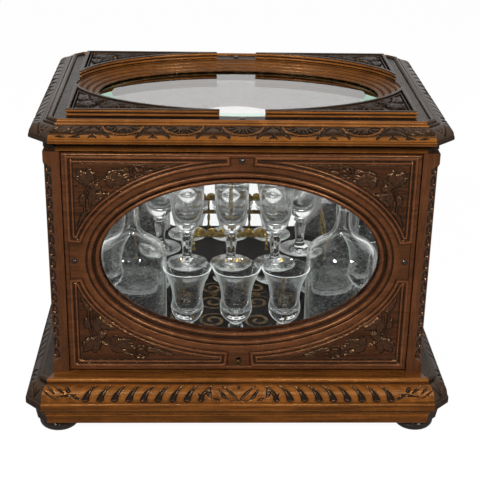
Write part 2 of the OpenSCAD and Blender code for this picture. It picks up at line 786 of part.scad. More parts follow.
module front_studs() {
    color(DARK_WOOD) translate([0, door_face_y, oval_z]) rotate([90, 0, 0])
        at_front_studs() stud();
}

module lock_case() {
    y0 = door_back_y - lock_d;
    color(BRASS) difference() {
        translate([-lock_w / 2, y0, door_z]) cube([lock_w, lock_d, lock_h]);
        translate([lock_wall - lock_w / 2, y0 + lock_wall, door_z + lock_wall])
            cube([lock_w - 2 * lock_wall, lock_d - 2 * lock_wall, lock_h - 2 * lock_wall]);
        translate([-bolt_w / 2 - bolt_play, lock_y - bolt_t / 2 - bolt_play, door_z - 1])
            cube([bolt_w + 2 * bolt_play, bolt_t + 2 * bolt_play, lock_wall + 2]);
        translate([0, y0 + lock_wall + 0.2, keyhole_z]) rotate([90, 0, 0])
            cylinder(r = keyhole_r, h = lock_wall + 1);
    }
}

module lock_bolt() {
    color(BRASS) difference() {
        translate([-bolt_w / 2, lock_y - bolt_t / 2, door_z + bolt_play])
            cube([bolt_w, bolt_t, bolt_h]);
        translate([0, lock_y + bolt_t, keyhole_z]) rotate([90, 0, 0])
            cylinder(r = keyhole_r + 1, h = 2 * bolt_t);
    }
}

// Caddy
module caddy_tray() {
    color(LACQUER) {
        translate([-tray_w / 2, -tray_d / 2, tray_z - tray_t])
            cube([tray_w, tray_d, tray_t - tray_step]);
        translate([tray_step - tray_w / 2, tray_step - tray_d / 2, tray_z - tray_step])
            cube([tray_w - 2 * tray_step, tray_d - 2 * tray_step, tray_step]);
    }
}

module caddy_tier() {
    color(LACQUER) translate([tier_shift, 0, tier_z - tier_t]) linear_extrude(tier_t)
        difference() {
            square([2 * tier_half_w, 2 * tier_half_d], center = true);
            for (sx = [-1, 1], sy = [-1, 1])
                translate([sx * decanter_x + decanter_shift - tier_shift, sy * decanter_y])
                    circle(decanter_r + decanter_clear);
        }
}

module caddy_columns() {
    h = tier_z - tier_t - tray_z;
    cap = 3;
    flare = 2.4;
    hollow = 0.8;
    r = column_r;
    color(BRASS) for (sx = [-1, 1], sy = [-1, 1])
        translate([tier_shift + sx * column_x, sy * column_y, tray_z])
            rotate_extrude() polygon(concat(
                [[0, 0], [r + flare, 0], [r + flare, cap - 1], [r, cap]],
                [for (i = [1:12])
                    [r - hollow * sin(180 * i / 13), cap + (h - 2 * cap) * i / 13]],
                [[r, h - cap], [r + flare, h - cap + 1], [r + flare, h], [0, h]]
            ));
}

// A rail with a row of scallops along its upper edge
module crest(half, h, pitch) {
    n = floor(2 * half / pitch);
    step = 2 * half / n;
    translate([-half, 0]) square([2 * half, h]);
    for (i = [0:n - 1]) translate([-half + step * (i + 0.5), h]) circle(step * 0.42);
}

module gallery_post(h) {
    cylinder(r = rail_t * 0.85, h = h);
    cylinder(r = rail_t * 1.35, h = 1.5);
}

module caddy_gallery() {
    crest_h = 4;
    crest_pitch = 9;
    low_h = 3;
    mid_h = 5;
    mid_pitch = 11;
    color(BRASS) translate([tier_shift, 0, tier_z]) {
        translate([0, rail_y + rail_t / 2, 0]) rotate([90, 0, 0]) linear_extrude(rail_t) {
            translate([0, rail_high - crest_h]) crest(rail_half, crest_h, crest_pitch);
            translate([-rail_half, rail_low - low_h]) square([2 * rail_half, low_h]);
        }
        for (x = [-rail_half, -tulip_pitch / 2, tulip_pitch / 2, rail_half])
            translate([x, rail_y, 0]) cylinder(r = rail_t / 2, h = rail_high);
        for (s = [-1, 1]) {
            x = s * (tier_half_w - rail_edge - rail_t / 2);
            translate([x - rail_t / 2, 0, 0]) rotate([90, 0, 90]) linear_extrude(rail_t) {
                translate([0, rail_high - crest_h])
                    crest(rail_side_half, crest_h, crest_pitch);
                translate([-rail_side_half, rail_low - low_h])
                    square([2 * rail_side_half, low_h]);
            }
            for (t = [-1, 1]) translate([x, t * rail_side_half, 0])
                cylinder(r = rail_t / 2, h = rail_high);
        }
        translate([0, rail_mid_y + rail_t / 2, 0]) rotate([90, 0, 0]) linear_extrude(rail_t)
            translate([0, rail_low - mid_h]) crest(rail_mid_half, mid_h, mid_pitch);
        for (s = [-1, 1]) translate([s * rail_mid_half, rail_mid_y, 0])
            gallery_post(rail_low);
    }
}

module caddy_handle() {
    base_r = 3.5;
    base_h = 3;
    knop = 1.4;
    knop_drop = 6;
    stem_y = rail_t / 2 + stem_r + knop;
    color(BRASS) translate([tier_shift, stem_y + rail_mid_y, tier_z]) {
        cylinder(r = base_r, h = base_h);
        cylinder(r = stem_r, h = loop_up - loop_r);
        translate([0, 0, loop_up - loop_r - knop_drop]) sphere(r = stem_r + knop);
        translate([0, 0, loop_up]) rotate([90, 0, 0])
            rotate_extrude() translate([loop_r, 0]) circle(stem_r, $fn = 24);
    }
}

// Glassware
module decanter(sx, sy) {
    r = decanter_r;
    side = decanter_side_h;
    inner_r = r - decanter_wall;
    inner_side = side - 1;
    base_t = 4;
    bore = plug_r + plug_play;
    neck_low = decanter_h - 23;
    dome = 20;
    lip = 3;
    lip_h = 2;
    outside = concat(
        [[0, 0], [r - 2, 0], [r, 2], [r, side]],
        curve_pts([r, side], [r, side + dome], [neck_r + 1, side + 13], [neck_r, neck_low], 10),
        [[neck_r, decanter_h - 2 * lip_h], [neck_r + lip, decanter_h - lip_h],
         [neck_r + lip, decanter_h]]
    );
    dome_inside = curve_pts([inner_r, inner_side], [inner_r, inner_side + dome - 1],
                            [neck_r - 1, inner_side + 11], [bore, neck_low], 10);
    inside = concat(
        [[bore, decanter_h], [bore, neck_low]],
        [for (i = [8:-1:0]) dome_inside[i]],
        [[inner_r, inner_side], [inner_r, base_t + 2], [inner_r - 2, base_t], [0, base_t]]
    );
    color(CRYSTAL) translate([sx * decanter_x + decanter_shift, sy * decanter_y, tray_z])
        rotate_extrude() polygon(concat(outside, inside));
}

module stopper(sx, sy) {
    seat = decanter_h + 0.3;
    collar_r = neck_r + 1.6;
    collar_h = 2;
    waist_r = 5;
    waist_h = 4;
    tip_r = 3.2;
    ball_z = seat + waist_h + ball_r;
    color(CRYSTAL) translate([sx * decanter_x + decanter_shift, sy * decanter_y, tray_z])
        rotate_extrude() polygon(concat(
            [[0, decanter_h - plug_len], [plug_r, decanter_h - plug_len], [plug_r, seat],
             [collar_r, seat], [collar_r, seat + collar_h], [waist_r, seat + waist_h - 1]],
            arc_pts([0, ball_z], ball_r, ball_r, -65, 76, 16),
            [[tip_r, ball_z + ball_r + 1], [0, ball_z + ball_r + waist_h]]
        ));
}

function glass_foot() = concat(
    [[0, 0], [glass_foot_r, 0], [glass_foot_r, glass_edge_t]],
    curve_pts([glass_foot_r, glass_edge_t], [9, 3.2], [4, 5],
              [glass_stem_r, glass_stem_foot], 5));

module bell_glass() {
    wall = 1.2;
    rim_wall = 0.9;
    belly_r = 0.67 * bell_r;
    waist_r = 0.615 * bell_r;
    waist_z = 54;
    stem_top = [4.4, 28.5];
    bowl_floor = 40.5;
    outside = concat(
        glass_foot(),
        [[glass_stem_r, 20], [6, 22], [6.8, 24.5], [6, 27], stem_top],
        curve_pts(stem_top, [7.5, 33], [belly_r, 36], [belly_r, 46], 5),
        [[waist_r, waist_z]],
        curve_pts([waist_r, waist_z], [waist_r, waist_z + 14], [bell_r - 3, glass_h - 10],
                  [bell_r, glass_h], 7));
    flare = curve_pts([waist_r - wall, waist_z], [waist_r - wall, waist_z + 15],
                      [bell_r - 3 - wall, glass_h - 9], [bell_r - rim_wall, glass_h], 7);
    inside = concat(
        [for (i = [len(flare) - 1:-1:0]) flare[i]],
        [[waist_r - wall, waist_z], [belly_r - 1.8, bowl_floor + 6.5],
         [belly_r - 3, bowl_floor + 2.5], [belly_r / 2, bowl_floor + 0.5], [0, bowl_floor]]);
    rotate_extrude($fn = 48) polygon(concat(outside, inside));
}

module tulip_glass() {
    rim_wall = 0.9;
    bowl_z = 56;
    stem_top = [4.6, 34];
    bowl_floor = 41;
    outside = concat(
        glass_foot(),
        [[3.2, 14], [4.8, 24], [4.8, 28], [3.2, 30], [6.2, 32], stem_top],
        curve_pts(stem_top, [10, 36], [tulip_r - 3, 42], [tulip_r - 1, bowl_z], 6),
        [[tulip_r, glass_h]]);
    inside = concat(
        [[tulip_r - rim_wall, glass_h], [tulip_r - 2.2, bowl_z], [tulip_r - 3.8, bowl_floor + 7],
         [tulip_r - 7, bowl_floor + 2], [0, bowl_floor]]);
    rotate_extrude($fn = 48) polygon(concat(outside, inside));
}

module bell_row(sy) {
    color(CRYSTAL) for (i = [-1:1])
        translate([bell_shift + i * bell_pitch, sy * bell_row_y, tray_z]) bell_glass();
}

module bell_glasses_side() {
    color(CRYSTAL) for (s = [-1, 1]) translate([s * bell_side_x, 0, tray_z]) bell_glass();
}

module tulip_row(sy) {
    color(CRYSTAL) for (i = [-1:1])
        translate([tier_shift + i * tulip_pitch, sy * tulip_row_y, tier_z]) tulip_glass();
}

module tulip_glasses_side() {
    color(CRYSTAL) for (s = [-1, 1])
        translate([tier_shift + s * tulip_side_x, 0, tier_z]) tulip_glass();
}

base_plinth();
base_floor();
foot(-1, -1);  // foot_front_left
foot(1, -1);  // foot_front_right
foot(-1, 1);  // foot_rear_left
foot(1, 1);  // foot_rear_right
post(-1, -1);  // post_front_left
post(1, -1);  // post_front_right
post(-1, 1);  // post_rear_left
post(1, 1);  // post_rear_right
side_panel(-1);  // side_panel_left
side_panel(1);  // side_panel_right
back_panel();
side_glass(-1);  // side_glass_left
side_glass(1);  // side_glass_right
back_glass();
case_glazing_beads();
strike_plate();
hinge_leaves_fixed();
hinge_pins();
lid_frame();
lid_glass();
lid_glazing_bead();
lid_panel(-1, -1);  // lid_panel_front_left
lid_panel(1, -1);  // lid_panel_front_right
lid_panel(-1, 1);  // lid_panel_rear_left
lid_panel(1, 1);  // lid_panel_rear_right
lid_studs();
hinge_leaves_moving();
front_frame();
front_panel(-1, 1);  // front_panel_upper_left
front_panel(1, 1);  // front_panel_upper_right
front_panel(-1, -1);  // front_panel_lower_left
front_panel(1, -1);  // front_panel_lower_right
front_glass();
front_glazing_bead();
front_studs();
lock_case();
lock_bolt();
caddy_tray();
caddy_columns();
caddy_tier();
caddy_gallery();
caddy_handle();
decanter(-1, -1);  // decanter_front_left
decanter(1, -1);  // decanter_front_right
decanter(-1, 1);  // decanter_rear_left
decanter(1, 1);  // decanter_rear_right
stopper(-1, -1);  // stopper_front_left
stopper(1, -1);  // stopper_front_right
stopper(-1, 1);  // stopper_rear_left
stopper(1, 1);  // stopper_rear_right
bell_row(-1);  // bell_glasses_front
bell_row(1);  // bell_glasses_rear
bell_glasses_side();
tulip_row(-1);  // tulip_glasses_front
tulip_row(1);  // tulip_glasses_rear
tulip_glasses_side();
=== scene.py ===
"""Looks of an antique walnut tantalus with oval bevelled windows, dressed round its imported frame."""

import logging
import math
from dataclasses import dataclass, field
from enum import Enum
from typing import Callable, Sequence

import bmesh
import bpy
import numpy as np
from mathutils import Matrix, Vector


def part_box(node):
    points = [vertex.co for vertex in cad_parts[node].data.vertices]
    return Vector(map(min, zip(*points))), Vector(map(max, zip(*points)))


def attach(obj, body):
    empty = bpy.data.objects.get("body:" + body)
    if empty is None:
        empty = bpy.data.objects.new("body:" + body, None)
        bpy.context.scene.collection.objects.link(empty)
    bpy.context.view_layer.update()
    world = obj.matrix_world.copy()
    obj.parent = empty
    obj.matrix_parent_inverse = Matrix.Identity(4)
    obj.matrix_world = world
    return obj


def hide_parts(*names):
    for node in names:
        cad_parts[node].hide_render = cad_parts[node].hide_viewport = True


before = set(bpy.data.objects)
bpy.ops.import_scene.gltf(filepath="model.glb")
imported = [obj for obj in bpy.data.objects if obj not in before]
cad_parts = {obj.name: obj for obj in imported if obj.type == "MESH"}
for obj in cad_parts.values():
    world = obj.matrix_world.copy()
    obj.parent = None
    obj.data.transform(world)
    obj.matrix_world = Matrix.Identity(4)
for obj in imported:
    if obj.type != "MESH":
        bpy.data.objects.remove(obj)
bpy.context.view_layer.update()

LOG = logging.getLogger("tantalus")
MM = 0.001
TURN = 2 * np.pi

# How close points are welded and how small an edge may be, in metres
WELD_M = 2e-6
SLIVER_M = 1e-7

# In millimetres: how far flats stay from walls that they would share points with, the room round
# what is let in, and a pane's play in its rebate
FLAT_GAP = 0.02
SLOT_ROOM = 0.1
PANE_PLAY = 0.2

WINDOW_IOR = 1.5
CRYSTAL_IOR = 1.45

Array = np.ndarray
Colour = tuple[float, float, float]
Pair = tuple[float, float]
Outline = Sequence[Pair]
Spot = Sequence[float]
Place = Callable[[Array, Array, Array], Array]
Values = dict[object, object]
Grids = tuple[np.ndarray, np.ndarray]
Fields = tuple[np.ndarray, np.ndarray, np.ndarray]
Socket = bpy.types.NodeSocket
Tree = bpy.types.NodeTree
Node = bpy.types.Node
Material = bpy.types.Material
Object = bpy.types.Object

EAST, NORTH, UP = (1, 0, 0), (0, 1, 0), (0, 0, 1)
WEST, TO_FRONT = (-1, 0, 0), (0, -1, 0)


class Axis(Enum):
    """Direction along which the grain of a piece of wood runs."""

    X = (14.0, 230.0, 230.0)
    Y = (230.0, 14.0, 230.0)
    Z = (230.0, 230.0, 14.0)


class Corner(Enum):
    """The four corners of a part, as signs of its two flat directions; rear is also upper."""

    FRONT_LEFT = (-1, -1)
    FRONT_RIGHT = (1, -1)
    REAR_LEFT = (-1, 1)
    REAR_RIGHT = (1, 1)

    @property
    def tag(self) -> str:
        """The corner as node names spell it."""
        return self.name.lower()


def box_mm(node: str) -> Grids:
    """Lowest and highest corner, in millimetres, of a CAD node's box."""
    low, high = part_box(node)
    return np.array(low) / MM, np.array(high) / MM


# Meshes

@dataclass
class Surface:
    """Points in millimetres with the faces and finish numbers that lie on them."""

    points: Array
    faces: Array
    finish: int
    recess: Array
    ridge: Array
    uv: Array


def smoothstep(low: float, high: float, value: Array) -> Array:
    """Rises smoothly from 0 at low to 1 at high."""
    t = np.clip((value - low) / (high - low), 0.0, 1.0)
    return t * t * (3 - 2 * t)


def hump(value: Array, middle: Array | float, width: float) -> Array:
    """A smooth hump that is 1 at its middle."""
    return np.exp(-((value - middle) / width) ** 2)


def add_object(name: str, data: bpy.types.ID) -> Object:
    """Puts a new object into the scene."""
    made = bpy.data.objects.new(name, data)
    bpy.context.scene.collection.objects.link(made)
    return made


def grid_surface(points: Array, wrap_u: bool = False, wrap_v: bool = False, flip: bool = False,
                 finish: int = 0, recess: Array | float = 0.0, ridge: Array | float = 0.0,
                 uv: Array | float = 0.0) -> Surface:
    """Makes a surface of quads from a grid of points.

    Args:
        points: Grid of shape (rows, columns, 3).
        wrap_u: Join the last column to the first.
        wrap_v: Join the last row to the first.
        flip: Turn the faces over.
        finish: Number of the piece's finish that the faces take.
        recess: How deep in a hollow each point lies, from 0 to 1, which darkens it as wax and painted
            shade.
        ridge: How much each point stands proud, from 0 to 1, which lightens it as wear and painted
            highlight.
        uv: Texture place of each point.

    Returns:
        The surface.
    """
    rows, cols = points.shape[:2]
    index = np.arange(rows * cols).reshape(rows, cols)
    if wrap_u:
        index = np.concatenate([index, index[:, :1]], axis=1)
    if wrap_v:
        index = np.concatenate([index, index[:1]], axis=0)
    corners = [index[:-1, :-1], index[:-1, 1:], index[1:, 1:], index[1:, :-1]]
    if flip:
        corners.reverse()
    faces = np.stack([c.ravel() for c in corners], axis=1)
    marks = (np.broadcast_to(mark, (rows, cols)).ravel() for mark in (recess, ridge))
    return Surface(points.reshape(-1, 3), faces, finish, *marks,
                   np.broadcast_to(uv, (rows, cols, 2)).reshape(-1, 2))


def make_piece(name: str, surfaces: Sequence[Surface], finishes: Sequence[Material],
               body: str, stands_for: Sequence[str] = (), sharp_deg: float = 38.0) -> Object:
    """Builds one piece from surfaces and sets what it rides on and stands for.

    Args:
        name: Name of the piece.
        surfaces: Surfaces that make up its mesh.
        finishes: Its materials, in the order of the surfaces' finish numbers.
        body: CAD body that the piece moves with.
        stands_for: CAD nodes that the piece replaces.
        sharp_deg: Angle above which an edge is sharp.

    Returns:
        The new object.
    """
    starts = np.cumsum([0] + [len(part.points) for part in surfaces])
    quads = np.concatenate([part.faces + start for part, start in zip(surfaces, starts)])
    numbers = np.concatenate([np.full(len(part.faces), part.finish) for part in surfaces])
    points, uv, recess, ridge = (np.concatenate([getattr(part, key) for part in surfaces])
                                 for key in ("points", "uv", "recess", "ridge"))
    co = points * MM
    mesh = bpy.data.meshes.new(name)
    mesh.vertices.add(len(co))
    mesh.vertices.foreach_set("co", co.astype(np.float32).ravel())
    mesh.loops.add(quads.size)
    mesh.loops.foreach_set("vertex_index", quads.astype(np.int32).ravel())
    mesh.polygons.add(len(quads))
    mesh.polygons.foreach_set("loop_start", np.arange(0, quads.size, 4, dtype=np.int32))
    mesh.polygons.foreach_set("material_index", numbers.astype(np.int32))
    layer = mesh.uv_layers.new(name="profile")
    layer.data.foreach_set("uv", uv[quads.ravel()].astype(np.float32).ravel())
    for label, values in (("recess", recess), ("ridge", ridge)):
        attribute = mesh.attributes.new(label, "FLOAT", "POINT")
        attribute.data.foreach_set("value", values.astype(np.float32))
    mesh.update(calc_edges=True)
    mesh.validate()
    piece = add_object(name, mesh)
    for finish in finishes:
        mesh.materials.append(finish)
    weld_points(mesh)
    mesh.polygons.foreach_set("use_smooth", np.ones(len(mesh.polygons), dtype=bool))
    mesh.set_sharp_from_angle(angle=math.radians(sharp_deg))
    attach(piece, body)
    if stands_for:
        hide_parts(*stands_for)
    LOG.info("%s: %d faces on %s", name, len(mesh.polygons), body)
    return piece


def open_slot(piece: Object, low: Spot, high: Spot) -> None:
    """Cuts a straight-sided opening where another part is let in.

    Args:
        piece: Piece to cut.
        low: Low corner of the opening.
        high: High corner of the opening.
    """
    work = bmesh.new()
    work.from_mesh(piece.data)
    lo, hi = Vector(low) * MM, Vector(high) * MM
    for axis in range(3):
        for corner in (lo, hi):
            near = [f for f in work.faces
                    if all(min(v.co[k] for v in f.verts) < hi[k]
                           and max(v.co[k] for v in f.verts) > lo[k] for k in range(3))]
            edges = list({e for f in near for e in f.edges})
            corners = list({v for f in near for v in f.verts})
            normal = Vector([float(k == axis) for k in range(3)])
            bmesh.ops.bisect_plane(work, geom=near + edges + corners, dist=SLIVER_M,
                                   plane_co=corner, plane_no=normal)
    inside = [f for f in work.faces if all(lo[k] < f.calc_center_median()[k] < hi[k] for k in range(3))]
    bmesh.ops.delete(work, geom=inside, context="FACES")
    work.to_mesh(piece.data)
    work.free()


def slot_walls(low: Spot, high: Spot, shade: float = 0.7) -> Surface:
    """Four walls of a straight pocket, painted dark as shade."""
    corners = [(low[0], low[1]), (high[0], low[1]), (high[0], high[1]), (low[0], high[1])]
    rows = np.array([[(x, y, z) for x, y in corners] for z in (low[2], high[2])], dtype=float)
    return grid_surface(rows, wrap_u=True, recess=shade)


def weld_points(mesh: bpy.types.Mesh) -> None:
    """Joins points of a mesh that lie in one place and drops faces that vanish."""
    work = bmesh.new()
    work.from_mesh(mesh)
    bmesh.ops.remove_doubles(work, verts=work.verts, dist=WELD_M)
    bmesh.ops.dissolve_degenerate(work, edges=work.edges, dist=SLIVER_M)
    work.to_mesh(mesh)
    work.free()


def sheet(origin: Spot, across: Spot, up: Spot, out: Spot) -> Place:
    """Gives a function that lays flat x, y and height on a plane in these three directions."""
    axes = [np.array(axis, dtype=float) for axis in (across, up, out)]

    def place(*flat: Array | float) -> Array:
        return np.array(origin) + sum(value[..., None] * axis
                                      for value, axis in zip(np.broadcast_arrays(*flat), axes))

    return place


def arc(cx: float, cy: float, rx: float, ry: float, from_deg: float, to_deg: float,
        steps: int) -> list[Pair]:
    """Points along an ellipse's arc in a profile."""
    angles = np.radians(np.linspace(from_deg, to_deg, steps + 1))
    return [(cx + rx * math.cos(a), cy + ry * math.sin(a)) for a in angles]


def curve(p0: Spot, p1: Spot, p2: Spot, p3: Spot, steps: int) -> list[Pair]:
    """Points along a cubic curve in a profile, without its first point."""
    t = np.linspace(0, 1, steps + 1)[1:, None]
    pts = ((1 - t) ** 3 * np.array(p0) + 3 * (1 - t) ** 2 * t * np.array(p1)
           + 3 * (1 - t) * t * t * np.array(p2) + t ** 3 * np.array(p3))
    return [tuple(p) for p in pts]


def path_length(points: Array) -> Array:
    """Length gone along a path at each of its points."""
    return np.concatenate([[0], np.cumsum(np.hypot(*np.diff(points, axis=0).T))])


def lathe(profile: Outline, centre: Spot, steps: int,
          facet: Callable[[Array, Array], Array] | None = None) -> Surface:
    """Turns a profile of (radius, height) about an upright axis.

    Args:
        profile: Points from the bottom round to the end.
        centre: The axis's foot.
        steps: Points round the axis.
        facet: Takes the height and angle grids and returns a factor on the radius.

    Returns:
        The surface.
    """
    prof = np.array(profile, dtype=float)
    radius, height, turn = np.broadcast_arrays(
        prof[:, :1], prof[:, 1:], np.linspace(0, TURN, steps, endpoint=False)[None, :])
    if facet is not None:
        radius = radius * facet(height, turn)
    pts = np.stack([centre[0] + radius * np.cos(turn), centre[1] + radius * np.sin(turn),
                    centre[2] + height], axis=2)
    uv = np.stack([turn / TURN, path_length(prof)[:, None] * 0.01 + 0 * turn], axis=2)
    return grid_surface(pts, wrap_u=True, uv=uv)


# Carving

@dataclass(frozen=True)
class Gouge:
    """One tapering cut of a gouge along a bent path, in the flat millimetres of a surface."""

    start: Pair
    middle: Pair
    end: Pair
    widths: tuple[float, float, float]
    depth: float


@dataclass(frozen=True)
class Leaf:
    """One raised leaf with a midrib and lobes, in the flat millimetres of a surface."""

    root: Pair
    turn_deg: float
    length: float
    width: float
    bend: float = 0.2
    lobes: int = 4


def nearest_on_path(path: Array, x: Array, y: Array) -> Fields:
    """Finds the nearest place on an open path.

    Args:
        path: Points of the path.
        x: First flat coordinate of the places asked for.
        y: Second flat coordinate.

    Returns:
        The distance, the share of the path gone by, and the side as a sign.
    """
    best = np.full(x.shape, 1e9)
    share = np.zeros(x.shape)
    side = np.ones(x.shape)
    count = len(path) - 1
    for i in range(count):
        a, b = path[i], path[i + 1]
        d = b - a
        t = np.clip(((x - a[0]) * d[0] + (y - a[1]) * d[1]) / max(d @ d, 1e-9), 0, 1)
        gap = np.hypot(x - a[0] - t * d[0], y - a[1] - t * d[1])
        near = gap < best
        best = np.where(near, gap, best)
        share = np.where(near, (i + t) / count, share)
        cross = d[0] * (y - a[1]) - d[1] * (x - a[0])
        side = np.where(near, np.sign(cross), side)
    return best, share, side


def cut_gouges(gouges: Sequence[Gouge], x: Array, y: Array) -> Grids:
    """Cuts gouge marks into a surface.

    Args:
        gouges: The cuts.
        x, y: Flat coordinates of each point.

    Returns:
        The cut's height, which is 0 or less, and how deep in a cut each point lies.
    """
    height = np.zeros(x.shape)
    dark = np.zeros(x.shape)
    for g in gouges:
        p = [np.array(q) for q in (g.start, g.middle, g.end)]
        reach = max(g.widths) + 1.0
        box = np.array(p)
        inside = ((x > box[:, 0].min() - reach) & (x < box[:, 0].max() + reach)
                  & (y > box[:, 1].min() - reach) & (y < box[:, 1].max() + reach))
        if not inside.any():
            continue
        t = np.linspace(0, 1, 11)[:, None]
        path = (1 - t) ** 2 * p[0] + 2 * t * (1 - t) * p[1] + t * t * p[2]
        gap, share, _ = nearest_on_path(path, x[inside], y[inside])
        half = np.interp(share, [0, 0.5, 1], g.widths) / 2
        level = 1 - (gap / np.maximum(half, 0.05)) ** 2
        cut = np.where(level > 0, np.sqrt(np.clip(level, 0, 1)), 0)
        scale = np.clip(half / (max(g.widths) / 2), 0.25, 1)
        height[inside] = np.minimum(height[inside], -g.depth * cut * scale)
        dark[inside] = np.maximum(dark[inside], np.clip(cut * 1.6, 0, 1))
    return height, dark


def raise_leaves(leaves: Sequence[Leaf], x: Array, y: Array) -> Grids:
    """Raises leaves from a flat ground.

    Args:
        leaves: The leaves.
        x, y: Flat coordinates of each point.

    Returns:
        Height from 0 to 1, and how deep in a leaf's veins or round its edge each point lies.
    """
    height = np.zeros(x.shape)
    dark = np.zeros(x.shape)
    for leaf in leaves:
        a = math.radians(leaf.turn_deg)
        dx, dy = x - leaf.root[0], y - leaf.root[1]
        s = (dx * math.cos(a) + dy * math.sin(a)) / leaf.length
        n = -dx * math.sin(a) + dy * math.cos(a) - leaf.bend * leaf.length * np.clip(s, 0, 1) ** 2
        inside = (s > -0.08) & (s < 1.12) & (np.abs(n) < leaf.width)
        if not inside.any():
            continue
        si, ni = np.clip(s[inside], 0.001, 0.999), n[inside]
        lobe = 0.78 + 0.22 * np.abs(np.sin(leaf.lobes * np.pi * (si - 0.12 * np.abs(ni) / leaf.width)))
        half = leaf.width / 2 * np.sin(np.pi * si ** 0.75) ** 0.7 * lobe
        level = np.clip(1 - (ni / np.maximum(half, 0.05)) ** 2, 0, 1)
        dome = np.sqrt(level) * (0.75 + 0.25 * np.sin(np.pi * si))
        rib = hump(ni, 0.0, 0.55) * (level > 0)
        veins = 0.5 + 0.5 * np.cos(TURN * leaf.lobes * (si - 0.35 * np.abs(ni) / leaf.width))
        hollow = np.clip(rib * 0.8 + (veins ** 4) * 0.5 * (level > 0.05), 0, 1)
        shape = dome * (1 - 0.45 * hollow)
        ring = np.exp(-((np.abs(ni) - half) / 0.9) ** 2) * ((s[inside] > 0) & (s[inside] < 1))
        over = shape > height[inside]
        height[inside] = np.where(over, shape, height[inside])
        dark[inside] = np.where(over & (level > 0.02), hollow * 0.7,
                                np.maximum(dark[inside], ring * 0.9))
    return height, dark


def raise_stem(path: Outline, radius: float, x: Array, y: Array) -> Grids:
    """Raises a round stem along a path of points."""
    gap, _, _ = nearest_on_path(np.array(path), x, y)
    level = np.clip(1 - (gap / radius) ** 2, 0, 1)
    return np.sqrt(level), hump(gap, radius, 0.6)


# Finishes

def set_inputs(node: Node, values: Values) -> Node:
    """Fills a node's sockets, each with a value or from another node's socket."""
    for key, value in values.items():
        socket = node.inputs[key]
        if isinstance(value, Socket):
            node.id_data.links.new(value, socket)
        else:
            socket.default_value = (*value[:3], 1.0) if socket.type == "RGBA" else value
    return node


def add_node(tree: Tree, kind: str, values: Values | None = None, **settings: object) -> Node:
    """Adds a shader node, sets its attributes and fills its sockets."""
    node = tree.nodes.new(kind)
    for key, value in settings.items():
        setattr(node, key, value)
    return set_inputs(node, values or {})


def math_node(tree: Tree, operation: str, a: object, b: object = 0.0, c: object = 0.0,
              clamp: bool = False) -> Socket:
    """Adds a maths node; each operand is a number or a socket."""
    return add_node(tree, "ShaderNodeMath", {0: a, 1: b, 2: c}, operation=operation,
                    use_clamp=clamp).outputs[0]


def mix_colours(tree: Tree, factor: object, a: object, b: object, blend: str = "MIX") -> Socket:
    """Adds a colour mix; each operand is a value or a socket."""
    return add_node(tree, "ShaderNodeMix", {0: factor, 6: a, 7: b}, data_type="RGBA",
                    blend_type=blend).outputs[2]


def map_range(tree: Tree, value: Socket, low: float, high: float, to_low: float = 0.0,
              to_high: float = 1.0, kind: str = "LINEAR") -> Socket:
    """Spreads the stretch of a value from low to high over another stretch."""
    values = {"Value": value, "From Min": low, "From Max": high, "To Min": to_low, "To Max": to_high}
    return add_node(tree, "ShaderNodeMapRange", values, interpolation_type=kind).outputs[0]


def noise(tree: Tree, place: Socket, scale: float, **values: float) -> Socket:
    """Adds a noise texture and gives its strength."""
    return add_node(tree, "ShaderNodeTexNoise",
                    {"Vector": place, "Scale": scale, **values}).outputs["Fac"]


def object_place(tree: Tree) -> Socket:
    """Gives the place on the object."""
    return add_node(tree, "ShaderNodeTexCoord").outputs["Object"]


def bump(tree: Tree, height: Socket, strength: float, distance: float, invert: bool = False) -> Socket:
    """Turns a height into a normal."""
    values = {"Height": height, "Strength": strength, "Distance": distance}
    return add_node(tree, "ShaderNodeBump", values, invert=invert).outputs[0]


def new_group(name: str, inputs: Sequence[tuple[str, str, object]],
              outputs: Sequence[tuple[str, str]]) -> tuple[Tree, object, Node]:
    """Makes a shader group with these sockets; gives it, its given sockets and its last node."""
    group = bpy.data.node_groups.new(name, "ShaderNodeTree")
    for label, kind, value in inputs:
        socket = group.interface.new_socket(label, in_out="INPUT", socket_type=kind)
        socket.default_value = value
    for label, kind in outputs:
        group.interface.new_socket(label, in_out="OUTPUT", socket_type=kind)
    return group, add_node(group, "NodeGroupInput").outputs, add_node(group, "NodeGroupOutput")


def use_group(tree: Tree, name: str, values: Values) -> object:
    """Adds a shared group to a material and gives its output sockets."""
    return add_node(tree, "ShaderNodeGroup", values, node_tree=bpy.data.node_groups[name]).outputs


def build_grain_group() -> None:
    """Grain of old walnut: long streaks, fine pores and slow patches of colour."""
    group, given, out = new_group(
        "walnut_grain",
        [("Stretch", "NodeSocketVector", Axis.X.value),
         ("Dark", "NodeSocketColor", (0.05, 0.02, 0.01, 1)),
         ("Light", "NodeSocketColor", (0.2, 0.09, 0.04, 1))],
        [("Color", "NodeSocketColor"), ("Pores", "NodeSocketFloat")])
    place = object_place(group)
    stretched = add_node(group, "ShaderNodeVectorMath", {0: place, 1: given["Stretch"]},
                         operation="MULTIPLY").outputs[0]
    streaks = noise(group, stretched, 1.0, Detail=5.0, Roughness=0.62, Distortion=0.7)
    pores = noise(group, stretched, 5.0, Detail=2.0)
    patches = noise(group, place, 22.0, Detail=2.0)
    figure = map_range(group, streaks, 0.36, 0.66)
    tone = math_node(group, "MULTIPLY_ADD", patches, 0.7, -0.35)
    share = math_node(group, "ADD", figure, tone, clamp=True)
    colour = mix_colours(group, share, given["Dark"], given["Light"])
    pore = map_range(group, pores, 0.30, 0.46)
    filled = mix_colours(group, pore, (0.45, 0.42, 0.40), (1, 1, 1))
    set_inputs(out, {"Color": mix_colours(group, 1.0, colour, filled, "MULTIPLY"), "Pores": pore})


